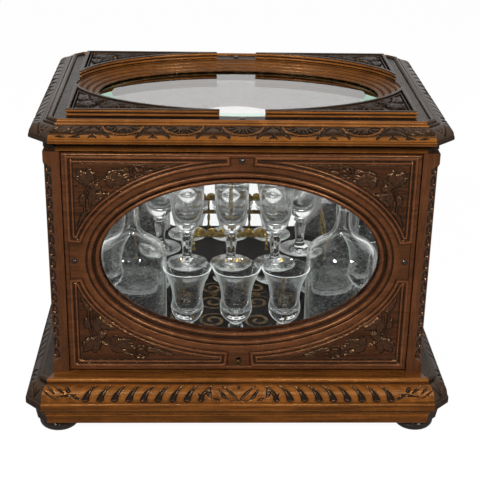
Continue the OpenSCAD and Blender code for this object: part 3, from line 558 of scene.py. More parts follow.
def build_wear_group() -> None:
    """Black wax and painted shade in hollows, and rubbed, lighter wood with painted highlight on what
    stands proud.
    """
    group, given, out = new_group(
        "hand_wear",
        [("Color", "NodeSocketColor", (0.2, 0.1, 0.05, 1)),
         ("Wax", "NodeSocketColor", (0.008, 0.006, 0.005, 1)),
         ("Rubbed", "NodeSocketColor", (0.4, 0.2, 0.08, 1)),
         ("Rubbing", "NodeSocketFloat", 0.5),
         ("Gloss", "NodeSocketFloat", 0.3)],
        [("Color", "NodeSocketColor"), ("Roughness", "NodeSocketFloat")])
    recess, ridge = (add_node(group, "ShaderNodeAttribute", attribute_name=name).outputs["Fac"]
                     for name in ("recess", "ridge"))
    smear = noise(group, object_place(group), 70.0, Detail=3.0)
    broken = math_node(group, "MULTIPLY_ADD", smear, 0.5, 0.1)
    # What stands proud lightens towards the rubbed colour: wear and painted highlight.
    rubbed = math_node(group, "MULTIPLY", ridge, broken)
    rubbing = math_node(group, "MULTIPLY", rubbed, given["Rubbing"], clamp=True)
    light = mix_colours(group, rubbing, given["Color"], given["Rubbed"])
    edge = math_node(group, "MULTIPLY_ADD", smear, 0.5, -0.25)
    ragged = math_node(group, "MULTIPLY", edge, recess)
    # Hollows darken towards the wax colour: black wax and painted shade.
    deep = math_node(group, "MULTIPLY_ADD", recess, 1.15, ragged, clamp=True)
    rough = math_node(group, "MULTIPLY_ADD", smear, 0.10, -0.05)
    shine = math_node(group, "ADD", given["Gloss"], rough)
    set_inputs(out, {"Color": mix_colours(group, deep, light, given["Wax"]),
                     "Roughness": math_node(group, "MULTIPLY_ADD", deep, -0.04, shine)})


def build_etch_group() -> None:
    """Fine wheel-cut sprays on crystal, from the profile's texture place."""
    group, given, out = new_group(
        "wheel_cutting",
        [("Low", "NodeSocketFloat", 0.2), ("High", "NodeSocketFloat", 0.5),
         ("Strength", "NodeSocketFloat", 1.0)],
        [("Mask", "NodeSocketFloat")])
    place = add_node(group, "ShaderNodeUVMap", uv_map="profile").outputs[0]
    up = add_node(group, "ShaderNodeSeparateXYZ", {0: place}).outputs[1]
    scaled = add_node(group, "ShaderNodeVectorMath", {0: place, 1: (9.0, 9.0, 1.0)},
                      operation="MULTIPLY").outputs[0]
    sprays = noise(group, scaled, 3.4, Detail=3.0, Distortion=2.2)
    above = math_node(group, "GREATER_THAN", up, given["Low"])
    below = math_node(group, "LESS_THAN", up, given["High"])
    band = math_node(group, "MULTIPLY", above, below)
    mask = math_node(group, "MULTIPLY", map_range(group, sprays, 0.52, 0.60), band)
    set_inputs(out, {"Mask": math_node(group, "MULTIPLY", mask, given["Strength"])})


@dataclass(frozen=True)
class Finish:
    """A finish that is made once, under its own name."""

    name: str

    def make(self) -> Material:
        """Builds the material."""
        material = bpy.data.materials.new(self.name)
        material.use_nodes = True
        tree = material.node_tree
        set_inputs(tree.nodes["Principled BSDF"], self.shader_inputs(tree))
        return material

    def shader_inputs(self, tree: Tree) -> Values:
        """Gives what the shader's sockets take, by their names."""
        raise NotImplementedError


@dataclass(frozen=True)
class WoodFinish(Finish):
    """French-polished walnut that has darkened, with wax and painted shade in its hollows and rubbed wood
    with painted highlight on what stands proud.
    """

    grain: Axis
    dark: Colour
    light: Colour
    rubbed: Colour
    gloss: float = 0.27
    rubbing: float = 0.7
    coat: float = 0.0
    specular: float = 0.46
    warmth: Colour = (1.0, 0.56, 0.26)

    def shader_inputs(self, tree: Tree) -> Values:
        """Lays wear, painted shade and painted highlight over the grain, with the pores as a bump."""
        grain = use_group(tree, "walnut_grain", {"Stretch": self.grain.value, "Dark": self.dark,
                                                 "Light": self.light})
        wear = use_group(tree, "hand_wear", {"Color": grain["Color"], "Rubbed": self.rubbed,
                                             "Rubbing": self.rubbing, "Gloss": self.gloss})
        return {"Base Color": wear["Color"], "Roughness": wear["Roughness"],
                "Normal": bump(tree, grain["Pores"], 0.25, 0.0003),
                "Specular IOR Level": self.specular, "Specular Tint": self.warmth,
                "Coat Weight": self.coat, "Coat Roughness": 0.12}


@dataclass(frozen=True)
class MetalFinish(Finish):
    """Brass, gilt or steel with tarnish in blotches."""

    bright: Colour
    dull: Colour
    roughness: float

    def shader_inputs(self, tree: Tree) -> Values:
        """Spreads the tarnish, which also dulls and dents the metal a little."""
        blotch = noise(tree, object_place(tree), 260.0, Detail=4.0)
        share = map_range(tree, blotch, 0.38, 0.62)
        return {"Base Color": mix_colours(tree, share, self.dull, self.bright), "Metallic": 1.0,
                "Roughness": math_node(tree, "MULTIPLY_ADD", share, -0.15, self.roughness + 0.15),
                "Normal": bump(tree, blotch, 0.3, 0.0002)}


@dataclass(frozen=True)
class PaneFinish(Finish):
    """Old window glass: a mirror by the share that Fresnel's law gives, and clear for the rest."""

    tint: Colour
    mirror: float
    veil: float = 0.0
    ends_mm: Pair | None = None
    front_mm: Pair = (50.0, 66.0)

    def shader_inputs(self, tree: Tree) -> Values:
        """Sets a slightly rippled mirror that covers as much as the glass reflects."""
        inner = add_node(tree, "ShaderNodeNewGeometry").outputs["Backfacing"]
        index = math_node(tree, "MULTIPLY_ADD", inner, 1 / WINDOW_IOR - WINDOW_IOR, WINDOW_IOR)
        fresnel = add_node(tree, "ShaderNodeFresnel", {"IOR": index}).outputs[0]
        place = object_place(tree)
        cover = math_node(tree, "MULTIPLY_ADD", fresnel, self.mirror, self.haze(tree, place), clamp=True)
        return {"Base Color": self.tint, "Roughness": 0.02, "Metallic": 1.0, "Alpha": cover,
                "Normal": bump(tree, noise(tree, place, 9.0), 0.03, 0.001)}

    def haze(self, tree: Tree, place: Socket) -> Socket | float:
        """The veil over the whole pane, or only towards its two ends and its front."""
        if self.ends_mm is None:
            return self.veil
        flat = add_node(tree, "ShaderNodeSeparateXYZ", {0: place}).outputs
        ends = math_node(tree, "ABSOLUTE", flat["X"])
        front = math_node(tree, "MULTIPLY", flat["Y"], -1.0)
        sides = [map_range(tree, value, low * MM, high * MM, 0.0, self.veil, "SMOOTHSTEP")
                 for value, (low, high) in ((ends, self.ends_mm), (front, self.front_mm))]
        return math_node(tree, "MAXIMUM", *sides)


@dataclass(frozen=True)
class CrystalFinish(Finish):
    """Clear lead crystal with a band of wheel-cut sprays; a painted glow at its edges and in its cuts
    stands for caught light.
    """

    etch_low: float
    etch_high: float
    # Strength of the painted glow at the edges, which stands for light caught there.
    edge: float = 0.24
    strength: float = 0.30
    tint: Colour = (0.985, 0.99, 0.985)

    def shader_inputs(self, tree: Tree) -> Values:
        """Sets clear crystal with a faint painted glow, standing for caught light, at its edges and in its
        cuts.
        """
        mask = use_group(tree, "wheel_cutting", {"Low": self.etch_low, "High": self.etch_high,
                                                 "Strength": self.strength})["Mask"]
        facing = add_node(tree, "ShaderNodeLayerWeight", {"Blend": 0.5}).outputs["Facing"]
        # Emission at grazing edges and in the cuts: painted light, not a lamp.
        rim = math_node(tree, "MULTIPLY", math_node(tree, "POWER", facing, 5.0), self.edge)
        glow = math_node(tree, "MULTIPLY_ADD", mask, 0.16, rim)
        return {"Transmission Weight": 1.0, "IOR": CRYSTAL_IOR, "Roughness": 0.0,
                "Base Color": mix_colours(tree, mask, self.tint, (0.86, 0.90, 0.90)),
                "Emission Color": mix_colours(tree, glow, (0, 0, 0), (0.93, 1.0, 0.97)),
                "Emission Strength": 1.0, "Normal": bump(tree, mask, 0.15, 0.0002, invert=True)}


@dataclass
class Workshop:
    """Makes each finish once and hands it out by name."""

    made: dict[str, Material] = field(default_factory=dict)

    def prepare(self) -> None:
        """Builds the shared node groups and every finish."""
        build_grain_group()
        build_wear_group()
        build_etch_group()
        for finish in self.woods() + self.metals_and_glass():
            self.made[finish.name] = finish.make()

    @staticmethod
    def woods() -> list[Finish]:
        """The walnuts in three tones along each axis: the plain red wood, a lighter golden copy that
        paints light and a darker grey copy that paints shade and sheen; a darker copy for the cornice that
        paints shade; and the blackened woods.
        """
        tones = {
            # Lit and shaded copies of one walnut: the golden tone is painted light, the grey tone painted
            # shade and sheen.
            "red_walnut": {"dark": (0.0125, 0.0046, 0.0024), "light": (0.046, 0.0152, 0.0066),
                           "rubbed": (0.26, 0.088, 0.032)},
            "golden_walnut": {"dark": (0.019, 0.0062, 0.0018), "light": (0.098, 0.0300, 0.0054),
                              "rubbed": (0.34, 0.120, 0.022), "specular": 0.34},
            "grey_walnut": {"dark": (0.0050, 0.0030, 0.0020), "light": (0.017, 0.0102, 0.0070),
                            "rubbed": (0.095, 0.060, 0.040), "specular": 0.12}}
        walnuts = [WoodFinish(f"{name}_{axis.name.lower()}", axis, **tone)
                   for axis in Axis for name, tone in tones.items()]
        return walnuts + [
            # A darker copy of the walnut for the strongly lit cornice: painted shade.
            WoodFinish("cornice_walnut", Axis.X, (0.009, 0.0034, 0.0014), (0.038, 0.0118, 0.0026),
                       (0.40, 0.135, 0.022), rubbing=0.85, specular=0.22),
            WoodFinish("ebonised", Axis.X, (0.006, 0.005, 0.0045), (0.016, 0.012, 0.010),
                       (0.05, 0.03, 0.02), gloss=0.16, coat=0.25, specular=0.5,
                       warmth=(1.0, 0.85, 0.75)),
            WoodFinish("black_lacquer", Axis.X, (0.004, 0.0035, 0.003), (0.010, 0.008, 0.007),
                       (0.03, 0.02, 0.01), gloss=0.34, specular=0.004, warmth=(1.0, 0.9, 0.8))]

    @staticmethod
    def metals_and_glass() -> list[Finish]:
        """The metals, the window panes and the crystal."""
        return [
            MetalFinish("gilt", (0.62, 0.42, 0.10), (0.20, 0.13, 0.035), 0.22),
            MetalFinish("old_gilt", (0.30, 0.175, 0.040), (0.10, 0.055, 0.014), 0.4),
            MetalFinish("brass", (0.50, 0.35, 0.13), (0.20, 0.13, 0.05), 0.35),
            MetalFinish("steel", (0.42, 0.41, 0.39), (0.20, 0.19, 0.17), 0.35),
            PaneFinish("window_glass", (0.90, 0.92, 0.91), 0.5),
            PaneFinish("window_bevel", (0.80, 0.82, 0.85), 0.9, 0.004),
            PaneFinish("lid_window_glass", (0.92, 0.91, 0.90), 1.6),
            PaneFinish("lid_window_bevel", (0.52, 0.84, 0.68), 1.6, 0.30, (84.0, 112.0)),
            CrystalFinish("bell_crystal", 1.15, 1.50, 0.62),
            CrystalFinish("tulip_crystal", 0.75, 1.15, 0.42),
            CrystalFinish("decanter_crystal", 0.25, 1.4)]

    def get(self, *names: str) -> list[Material]:
        """Hands out finishes by name."""
        return [self.made[name] for name in names]

    def dress(self, finishes: dict[str, str]) -> None:
        """Gives CAD nodes that stay in view their finishes."""
        for node, finish in finishes.items():
            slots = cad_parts[node].data.materials
            slots.clear()
            slots.append(self.made[finish])
            LOG.info("%s: carried over in %s", node, finish)


# Case sizes, read from the frame

@dataclass(frozen=True)
class CaseSizes:
    """Driving sizes of the cabinet in millimetres, taken from its CAD nodes."""

    half_w: float
    half_d: float
    post_w: float
    foot_h: float
    plinth_top: float
    seam: float
    board_top: float
    plinth_reach: float
    cornice_reach: float

    @classmethod
    def from_frame(cls) -> "CaseSizes":
        """Reads the sizes from the nodes' boxes."""
        post_low, post_high = box_mm("post_front_left")
        base_low, base_high = box_mm("base_plinth")
        lid_low, lid_high = box_mm("lid_frame")
        panel_low, _ = box_mm("lid_panel_front_left")
        half_w, half_d = -post_low[0], -post_low[1]
        return cls(half_w, half_d, post_high[0] - post_low[0], base_low[2], base_high[2],
                   lid_low[2], panel_low[2], base_high[0] - half_w, lid_high[0] - half_w)


def refine_profile(profile: Outline, near: float = 0.5) -> Array:
    """Adds points close to both ends of a profile's longer stretches."""
    prof = np.array(profile, dtype=float)
    rows = [prof[0]]
    for a, b in zip(prof[:-1], prof[1:]):
        length = np.hypot(*(b - a))
        if length > 2.4 * near:
            rows += [a + (b - a) * near / length, b - (b - a) * near / length]
        rows.append(b)
    return np.array(rows)


def profile_shade(prof: Array) -> Grids:
    """How hollow and how exposed each point of a profile is, with the outside on its right: hollows take
    painted shade, exposed points wear and painted highlight.
    """
    step = np.diff(prof, axis=0)
    step /= np.maximum(np.hypot(*step.T)[:, None], 1e-9)
    turn = np.zeros(len(prof))
    turn[1:-1] = step[:-1, 0] * step[1:, 1] - step[:-1, 1] * step[1:, 0]
    return np.clip(-turn * 1.7, 0, 1), np.clip(turn * 1.5 + 0.28, 0, 1)


@dataclass
class Moulding:
    """A moulding carried round the cabinet, with chamfered corners."""

    sizes: CaseSizes
    ref_reach: float
    ref_chamfer: float

    def chamfer(self, reach: Array) -> Array:
        """Leg of the corner chamfer where the moulding reaches this far out."""
        return np.maximum(0.2, self.ref_chamfer + (2 - math.sqrt(2)) * (reach - self.ref_reach))

    def run(self, profile: Outline, finishes: tuple[int, int],
            steps: tuple[int, int] = (1, 1), field_at: "BandField | None" = None) -> list[Surface]:
        """Carries a stretch of profile round all eight sides.

        Args:
            profile: Points of (reach, height) from bottom to top.
            finishes: Finish numbers of the long sides and of the short sides.
            steps: Divisions along a long side and along a corner.
            field_at: Carving for the stretch, or None for a plain one.

        Returns:
            One surface for each side.
        """
        prof = np.array(profile, dtype=float) if field_at else refine_profile(profile)
        reach, height = prof[:, 0], prof[:, 1]
        hollow, rubbed = profile_shade(prof)
        tangent = np.gradient(prof, axis=0)
        tangent /= np.maximum(np.linalg.norm(tangent, axis=1, keepdims=True), 1e-9)
        normal = np.stack([tangent[:, 1], -tangent[:, 0]], axis=1)
        length = path_length(prof)
        half_w = self.sizes.half_w + reach
        half_d = self.sizes.half_d + reach
        cut = self.chamfer(reach)
        corners = [
            (-half_w + cut, -half_d), (half_w - cut, -half_d),
            (half_w, -half_d + cut), (half_w, half_d - cut),
            (half_w - cut, half_d), (-half_w + cut, half_d),
            (-half_w, half_d - cut), (-half_w, -half_d + cut),
        ]
        up = (length / length[-1])[:, None]
        surfaces = []
        for side in range(8):
            ends = (corners[side], corners[(side + 1) % 8])
            (ax, ay), (bx, by) = (np.array(end)[:, :, None] for end in ends)
            count = steps[side % 2]
            if side in (2, 6):
                count = max(1, int(count * self.sizes.half_d / self.sizes.half_w))
            share = np.linspace(0, 1, count + 1)[None, :]
            flat = np.ones(share.shape)
            x, y, z = ax + (bx - ax) * share, ay + (by - ay) * share, height[:, None] * flat
            span = np.hypot(bx - ax, by - ay)
            dark, proud = hollow[:, None] * flat, rubbed[:, None] * flat
            if field_at is not None:
                out = np.array([by[0, 0] - ay[0, 0], ax[0, 0] - bx[0, 0]])
                out /= np.linalg.norm(out)
                lift, dark, proud = field_at.carve(side, (share - 0.5) * span, up * flat,
                                                   span.max() / 2, length[-1])
                x = x + out[0] * lift * normal[:, :1]
                y = y + out[1] * lift * normal[:, :1]
                z = z + lift * normal[:, 1:2]
            finish = finishes[0] if side in (0, 4) else finishes[1]
            surfaces.append(grid_surface(np.stack([x, y, z], axis=2), finish=finish, recess=dark,
                                         ridge=proud))
        return surfaces


class BandField:
    """Carving of a moulding's band, given side by side."""

    def carve(self, side: int, along: Array, up: Array, half: float, height: float) -> Fields:
        """Gives the lift, the depth in hollows for painted shade, and the wear with painted highlight of
        each point.
        """
        raise NotImplementedError


@dataclass
class GadroonBand(BandField):
    """Slanted comma-shaped flutes that lean towards a leaf in the middle, with leaves at the ends."""

    pitch: float = 12.8
    slant: float = 10.4
    depth: float = 2.4
    middle_half: float = 33.0
    end_margin: float = 36.0

    def carve(self, side: int, along: Array, up: Array, half: float, height: float) -> Fields:
        """Carves flutes along the side, a palmette in the middle and a leaf at each end."""
        x, y = np.abs(along), up * height
        fade = smoothstep(0.0, 0.04, up) * (1 - smoothstep(0.95, 1.0, up))
        if side % 2 == 1:
            gouges = [Gouge((0, 1.0), (s * 2, 5), (s * 6.5, height * 0.8), (0.6, 1.6, 0.6), 1.2)
                      for s in (-1, 0, 1)]
            lift, dark = cut_gouges(gouges, along, y)
            return lift * fade, dark * fade, 1 - dark
        q = (x - self.middle_half + self.slant * up ** 2) / self.pitch
        gap = np.abs(q - np.round(q)) * self.pitch
        start = self.middle_half + 1.0
        stop = half - self.end_margin
        inside = smoothstep(start - 3, start, x + self.slant * up ** 2) * (
            1 - smoothstep(stop, stop + 2, x + self.slant * up ** 2))
        width = np.interp(up, [0.0, 0.10, 0.30, 0.6, 0.92, 1.0], [2.0, 6.8, 5.8, 4.0, 1.8, 0.4]) / 2
        level = np.clip(1 - (gap / width) ** 2, 0, 1) * inside
        groove = level ** 0.4
        deep = np.interp(up, [0, 0.1, 0.5, 0.95], [0.8, 1.0, 0.8, 0.3])
        lobe = 0.35 * np.cos(np.clip(gap / self.pitch * 2, 0, 1) * np.pi) * inside
        lift = -self.depth * deep * groove - 0.25 * lobe
        dark = np.clip(groove * 1.5, 0, 1)
        marks, mark_dark = cut_gouges(self.middle_gouges(height) + self.end_gouges(half, height), x, y)
        lift = np.minimum(lift, marks)
        dark = np.maximum(dark, mark_dark)
        crest = np.clip(gap / self.pitch * 2, 0, 1) ** 2
        return lift * fade, dark * fade, (1 - dark) * (0.35 + 0.6 * crest)

    def middle_gouges(self, h: float) -> list[Gouge]:
        """Cuts of half the palmette in the middle of a side."""
        return [
            Gouge((0.8, 1.5), (5, 8), (15, h - 1.0), (1.4, 2.6, 0.8), 1.6),
            Gouge((9, 2.0), (14, 5), (17, h * 0.72), (1.0, 3.6, 1.2), 1.8),
            Gouge((16, 1.8), (20, 2.5), (22, 4.0), (1.2, 2.6, 1.0), 1.4),
            Gouge((24.5, 4.0), (27.5, 8), (25.5, h - 2.5), (1.6, 5.0, 2.2), 2.2),
            Gouge((30, 1.5), (32, 3), (36, h * 0.5), (1.2, 3.4, 1.0), 1.8),
            Gouge((3.0, 1.0), (4.5, 1.6), (5.5, 2.8), (0.6, 1.2, 0.4), 1.0),
            Gouge((6.5, 0.8), (8.5, 1.4), (9.5, 2.6), (0.6, 1.2, 0.4), 1.0),
            Gouge((0.0, h - 4.5), (0.0, h - 3), (0.0, h - 1.5), (0.6, 2.4, 1.4), 1.2),
        ]

    def end_gouges(self, half: float, h: float) -> list[Gouge]:
        """Cuts of the leaf that wraps each corner."""
        e = half
        return [
            Gouge((e - 34, 3), (e - 31, 3.5), (e - 27, 6), (2.0, 2.6, 1.0), 1.8),
            Gouge((e - 24, h * 0.62), (e - 23, h * 0.75), (e - 22, h - 2), (3.6, 3.6, 1.4), 2.0),
            Gouge((e - 31, h * 0.42), (e - 24, h * 0.40), (e - 14, h * 0.30), (1.0, 2.2, 0.8), 1.5),
            Gouge((e - 20, h * 0.5), (e - 15, h * 0.75), (e - 12, h - 1.5), (1.2, 2.6, 1.0), 1.5),
            Gouge((e - 12, h * 0.45), (e - 8, h * 0.7), (e - 6, h - 2), (1.0, 2.2, 0.8), 1.3),
            Gouge((e - 12, h * 0.2), (e - 6, h * 0.35), (e - 2, h * 0.7), (0.8, 1.6, 0.6), 1.1),
        ]


@dataclass
class LunetteBand(BandField):
    """Fan lunettes hanging from the top edge, with darts between; the ends of the case get flutes."""

    pitch: float = 49.0
    fan_half: float = 17.5
    depth: float = 1.5
    flutes: GadroonBand = field(default_factory=lambda: GadroonBand(
        pitch=13.5, slant=9.0, depth=2.4, middle_half=6.0, end_margin=16.0))

    def carve(self, side: int, along: Array, up: Array, half: float, height: float) -> Fields:
        """Carves the front and back with lunettes, and the two ends with flutes."""
        if side not in (0, 4):
            return self.flutes.carve(side, along, up, half, height)
        x, y = along, up * height
        fade = smoothstep(0.0, 0.05, up) * (1 - smoothstep(0.97, 1.0, up) * 0.6)
        k = np.clip(np.round(x / self.pitch), -2, 2)
        cx = x - k * self.pitch
        fan_h = height * 0.70
        radius = np.hypot(cx / self.fan_half, (height - y) / fan_h)
        turn = np.degrees(np.arctan2(height - y, cx))
        rays = 0.5 + 0.5 * np.cos(np.radians(turn) * 14)
        inner = smoothstep(0.42, 0.48, radius) * (1 - smoothstep(0.80, 0.86, radius))
        petals = inner * smoothstep(0.35, 0.6, rays)
        rim = hump(radius, 0.93, 0.055)
        beads = rim * (0.5 + 0.5 * np.cos(np.radians(turn) * 40))
        groove = (hump(radius, 0.84, 0.03) + 0.8 * hump(radius, 1.04, 0.03)
                  + 0.9 * hump(radius, 0.40, 0.035))
        lift = -self.depth * np.clip(petals + 0.7 * groove, 0, 1) + 0.35 * beads - 0.25 * rim
        dark = np.clip(petals + groove + 0.35 * (radius < 0.8), 0, 1)
        marks, mark_dark = cut_gouges(self.darts(height) + self.end_leaves(half, height), x, y)
        lift = np.minimum(lift, marks)
        dark = np.maximum(dark, mark_dark)
        # The band is painted darker towards its top; towards its bottom and along the fans' rims it is
        # painted lighter, as highlight along with rubbing.
        dark = np.maximum(dark, 0.55 * smoothstep(0.16, 0.42, up) * (1 - rim))
        lit_and_rubbed = 0.12 + 0.88 * (1 - smoothstep(0.08, 0.4, up)) + 0.7 * rim
        return lift * fade, dark * fade, (1 - dark) * np.clip(lit_and_rubbed, 0, 1)

    def darts(self, h: float) -> list[Gouge]:
        """Cuts of the darts between the lunettes."""
        gouges = []
        for step in (-2.5, -1.5, -0.5, 0.5, 1.5, 2.5):
            c = step * self.pitch
            for s in (-1, 1):
                gouges.append(Gouge((c + s * 1.4, h * 0.97), (c + s * 6.5, h * 0.62),
                                    (c + s * 13.2, h * 0.16), (1.6, 2.7, 2.0), 1.7))
                gouges.append(Gouge((c + s * 0.4, h * 0.26), (c + s * 1.8, h * 0.16),
                                    (c + s * 3.6, h * 0.10), (0.8, 1.5, 0.5), 1.0))
            gouges.append(Gouge((c, h * 0.42), (c, h * 0.28), (c, h * 0.10), (0.5, 2.0, 0.8), 1.2))
        return gouges

    @staticmethod
    def end_leaves(half: float, h: float) -> list[Gouge]:
        """Cuts of the leaves at both ends of a side, with x back from the end and y as a share."""
        plan = (((36, 0.9), (32, 0.5), (24, 0.25), (1.4, 2.6, 1.0), 1.6),
                ((28, 0.95), (25, 0.6), (18, 0.4), (1.4, 2.6, 1.0), 1.5),
                ((20, 0.9), (17, 0.6), (10, 0.45), (1.2, 2.4, 0.8), 1.4),
                ((26, 0.12), (22, 0.2), (17, 0.14), (0.8, 1.8, 0.6), 1.2),
                ((14, 0.12), (10, 0.22), (6, 0.16), (0.8, 1.8, 0.6), 1.2),
                ((12, 0.9), (5, 0.75), (1, 0.3), (0.8, 1.6, 0.6), 1.1))
        return [Gouge(*((s * half - s * x, h * y) for x, y in path), widths, depth)
                for s in (-1, 1) for *path, widths, depth in plan]


@dataclass
class Plinth:
    """The plinth with its gadrooned band, and the bun feet under it."""

    sizes: CaseSizes
    shop: Workshop
    chamfer: float = 15.0
    floor_drop: float = 6.0
    pocket: tuple[float, float, float] = (5.4, 2.2, 7.0)

    def profiles(self) -> tuple[list, list, list]:
        """Profile below the carved band, the band, and above it."""
        r, low, top = self.sizes.plinth_reach, self.sizes.foot_h, self.sizes.plinth_top
        nose_z, nose_h = low + 17, 8.5
        foot = nose_z + nose_h + 0.7
        band_h, band_w = top - 5 - foot, 10.0
        floor_low = box_mm("base_floor")[0][2]
        below = ([(-20, floor_low), (-20, low), (r - 9.8, low), (r - 9.4, low + 0.5),
                  (r - 8, low + 9.0), (r - 8.4, low + 9.4), (r - 9.6, low + 10.0),
                  (r - 9.6, low + 10.6)] + arc(r - 8.3, low + 13.2, 2.6, 2.6, -75, 75, 8)
                 + [(r - 8.4, nose_z - 1.2), (r - 5, nose_z - 1.0), (r - 4, nose_z - 0.2)]
                 + arc(r - 2, nose_z + 2, 2, 2, -80, 0, 4)
                 + arc(r - 2, nose_z + nose_h - 2, 2, 2, 0, 80, 4) + [(r - 2.6, foot - 0.5)])
        band = arc(r - 1.4 - band_w, foot, band_w, band_h, 0, 84, 30)
        above = ([band[-1], (r - 1 - band_w - 1.6, foot + band_h + 0.2)]
                 + arc(r - 14.6, top - 2.4, 2.4, 2.4, -60, 100, 8)
                 + [(r - 16, top - 0.35), (0, top - 0.2), (-self.sizes.post_w, top - 0.2),
                    (-self.sizes.post_w, top - self.floor_drop)])
        return below, band, above

    def build(self) -> None:
        """Builds the plinth's mesh and dresses the feet and the floor."""
        moulding = Moulding(self.sizes, self.sizes.plinth_reach, self.chamfer)
        below, band, above = self.profiles()
        parts = moulding.run(below, (0, 1))
        parts += moulding.run(band, (0, 1), (640, 24), GadroonBand())
        parts += moulding.run(above, (0, 1))
        low, high = box_mm("strike_plate")
        in_x, in_y, deep = self.pocket
        parts.append(slot_walls((low[0] + in_x, low[1] + in_y, low[2] - deep),
                                (high[0] - in_x, high[1] - in_y, low[2])))
        # The front and back take the golden, lit walnut and the ends the grey, shaded one: painted light
        # and painted shade.
        piece = make_piece("plinth", parts, self.shop.get("golden_walnut_x", "grey_walnut_y"),
                           "case", ["base_plinth"])
        open_slot(piece, (low[0] - SLOT_ROOM, low[1] - SLOT_ROOM, low[2] + 0.01),
                  (high[0] + SLOT_ROOM, high[1] + SLOT_ROOM, high[2] + 0.5))
        for corner in Corner:
            self.build_foot(f"foot_{corner.tag}")
        self.shop.dress({"base_floor": "black_lacquer", "strike_plate": "brass"})

    def build_foot(self, node: str) -> None:
        """Turns one bun foot where its CAD node stands."""
        low, high = box_mm(node)
        r, h = (high[0] - low[0]) / 2, high[2]
        centre = ((low[0] + high[0]) / 2, (low[1] + high[1]) / 2, 0)
        belly = (h - 3) / 2
        profile = ([(0.01, 0.0), (r * 0.6, 0.0)] + arc(r - belly, belly, belly, belly, -62, 82, 18)
                   + curve((r - belly, h - 3), (r - belly - 2, h - 3), (r - 6.5, h - 2.6),
                           (r - 6.5, h), 4))
        make_piece(f"{node}_turned", [lathe(profile, centre, 64)], self.shop.get("ebonised"),
                   "case", [node])


@dataclass
class Foliage:
    """A spray of leaves, a bud and a curled stem, placed from the panel's outer corner."""

    reach_x: float
    reach_y: float
    dense: bool = False

    def scale(self) -> Pair:
        """Factors from the front panel's reach to this one's."""
        return self.reach_x / 138.6, self.reach_y / 82.0

    def leaves(self) -> list[Leaf]:
        """Leaves of the spray, with x and y measured inwards from the corner."""
        sx, sy = self.scale()
        plan = [
            (22, 25, 197, 13, 6.5, 0.08), (22, 25, 226, 15, 6.0, -0.05), (23, 24, 262, 11, 5.0, -0.15),
            (21, 27, 12, 9.5, 5.5, 0.2), (21.5, 43, -33, 16, 7.5, 0.12), (21, 43.5, -6, 15, 6.0, 0.18),
            (20.5, 42, -64, 12, 5.5, -0.15), (37, 19.5, 34, 14, 6.5, -0.15), (38, 19, 4, 14, 5.5, 0.15),
            (36, 20, 66, 9, 5.0, 0.1), (35, 19, -32, 12, 5.0, 0.15), (16, 36, 118, 9, 4.5, -0.2),
            (16, 52, 104, 18, 4.6, 0.05), (16, 52, 32, 6.5, 3.6, 0.2), (66, 17, -18, 12, 4.8, 0.15),
            (55, 17, 150, 8, 4.4, 0.2), (76, 14, -8, 13, 3.4, -0.1),
        ]
        if self.dense:
            plan += [
                (30, 32, 40, 15, 7.0, 0.2), (14, 30, 100, 14, 7.0, -0.2), (30, 12, -8, 14, 6.0, 0.2),
                (48, 24, 25, 13, 6.0, 0.2), (13, 13, 45, 12, 7.0, 0.0), (28, 46, 75, 12, 6.0, -0.2),
                (84, 16, 8, 14, 5.0, 0.2), (13, 66, 92, 12, 4.5, 0.1), (50, 12, 8, 12, 5.0, -0.2),
            ]
        return [Leaf((x * sx, y * sy), turn, length * 1.12, width * 1.45, bend, 3)
                for x, y, turn, length, width, bend in plan]

    def stems(self) -> list[list[Pair]]:
        """The bent stem, its prongs, the tail of the bud, and the ring that the stem curls into."""
        sx, sy = self.scale()
        rings = [[(61.1 + r * math.cos(a), 14.2 + r * math.sin(a))
                  for a in np.radians(np.linspace(40, 40 + sweep, 26))]
                 for r, sweep in ((6.0, 330), (2.9, 250))]
        lines = [
            [(16.1, 53.3), (15.5, 42), (17.6, 31.6), (21.2, 26.4), (29.5, 21.2), (36.8, 19.2), (46, 14),
             (53, 11.5)],
            [(16.1, 53.3), (13.6, 62), (12.4, 68.9)], [(21, 40), (20.4, 44), (21, 48)],
            [(67, 15.5), (75, 15), (81, 11.4), (88.6, 11.4)], *rings]
        return [[(x * sx, y * sy) for x, y in line] for line in lines]

    def carve(self, x: Array, y: Array) -> Grids:
        """Height from 0 to 1 above the ground, and depth in hollows."""
        height, dark = raise_leaves(self.leaves(), x, y)
        for path in self.stems():
            rise, line = raise_stem(path, 0.9, x, y)
            over = rise * 0.8 > height
            dark = np.where(over, dark * 0.2, np.maximum(dark, line * 0.9 * (height < 0.1)))
            height = np.maximum(height, rise * 0.8)
        return height, np.maximum(dark, 0.6 * smoothstep(0.06, 0.4, height))


def inset_loop(x: Array, y: Array, inset: float) -> Grids:
    """Moves a closed loop of points to its left by a distance, with mitred corners."""
    dx, dy = np.roll(x, -1) - x, np.roll(y, -1) - y
    run = np.maximum(np.hypot(dx, dy), 1e-9)
    nx, ny = -dy / run, dx / run
    mx, my = nx + np.roll(nx, 1), ny + np.roll(ny, 1)
    size = np.maximum(np.hypot(mx, my), 1e-9)
    mx, my = mx / size, my / size
    grow = inset / np.maximum(mx * nx + my * ny, 0.5)
    return x + mx * grow, y + my * grow


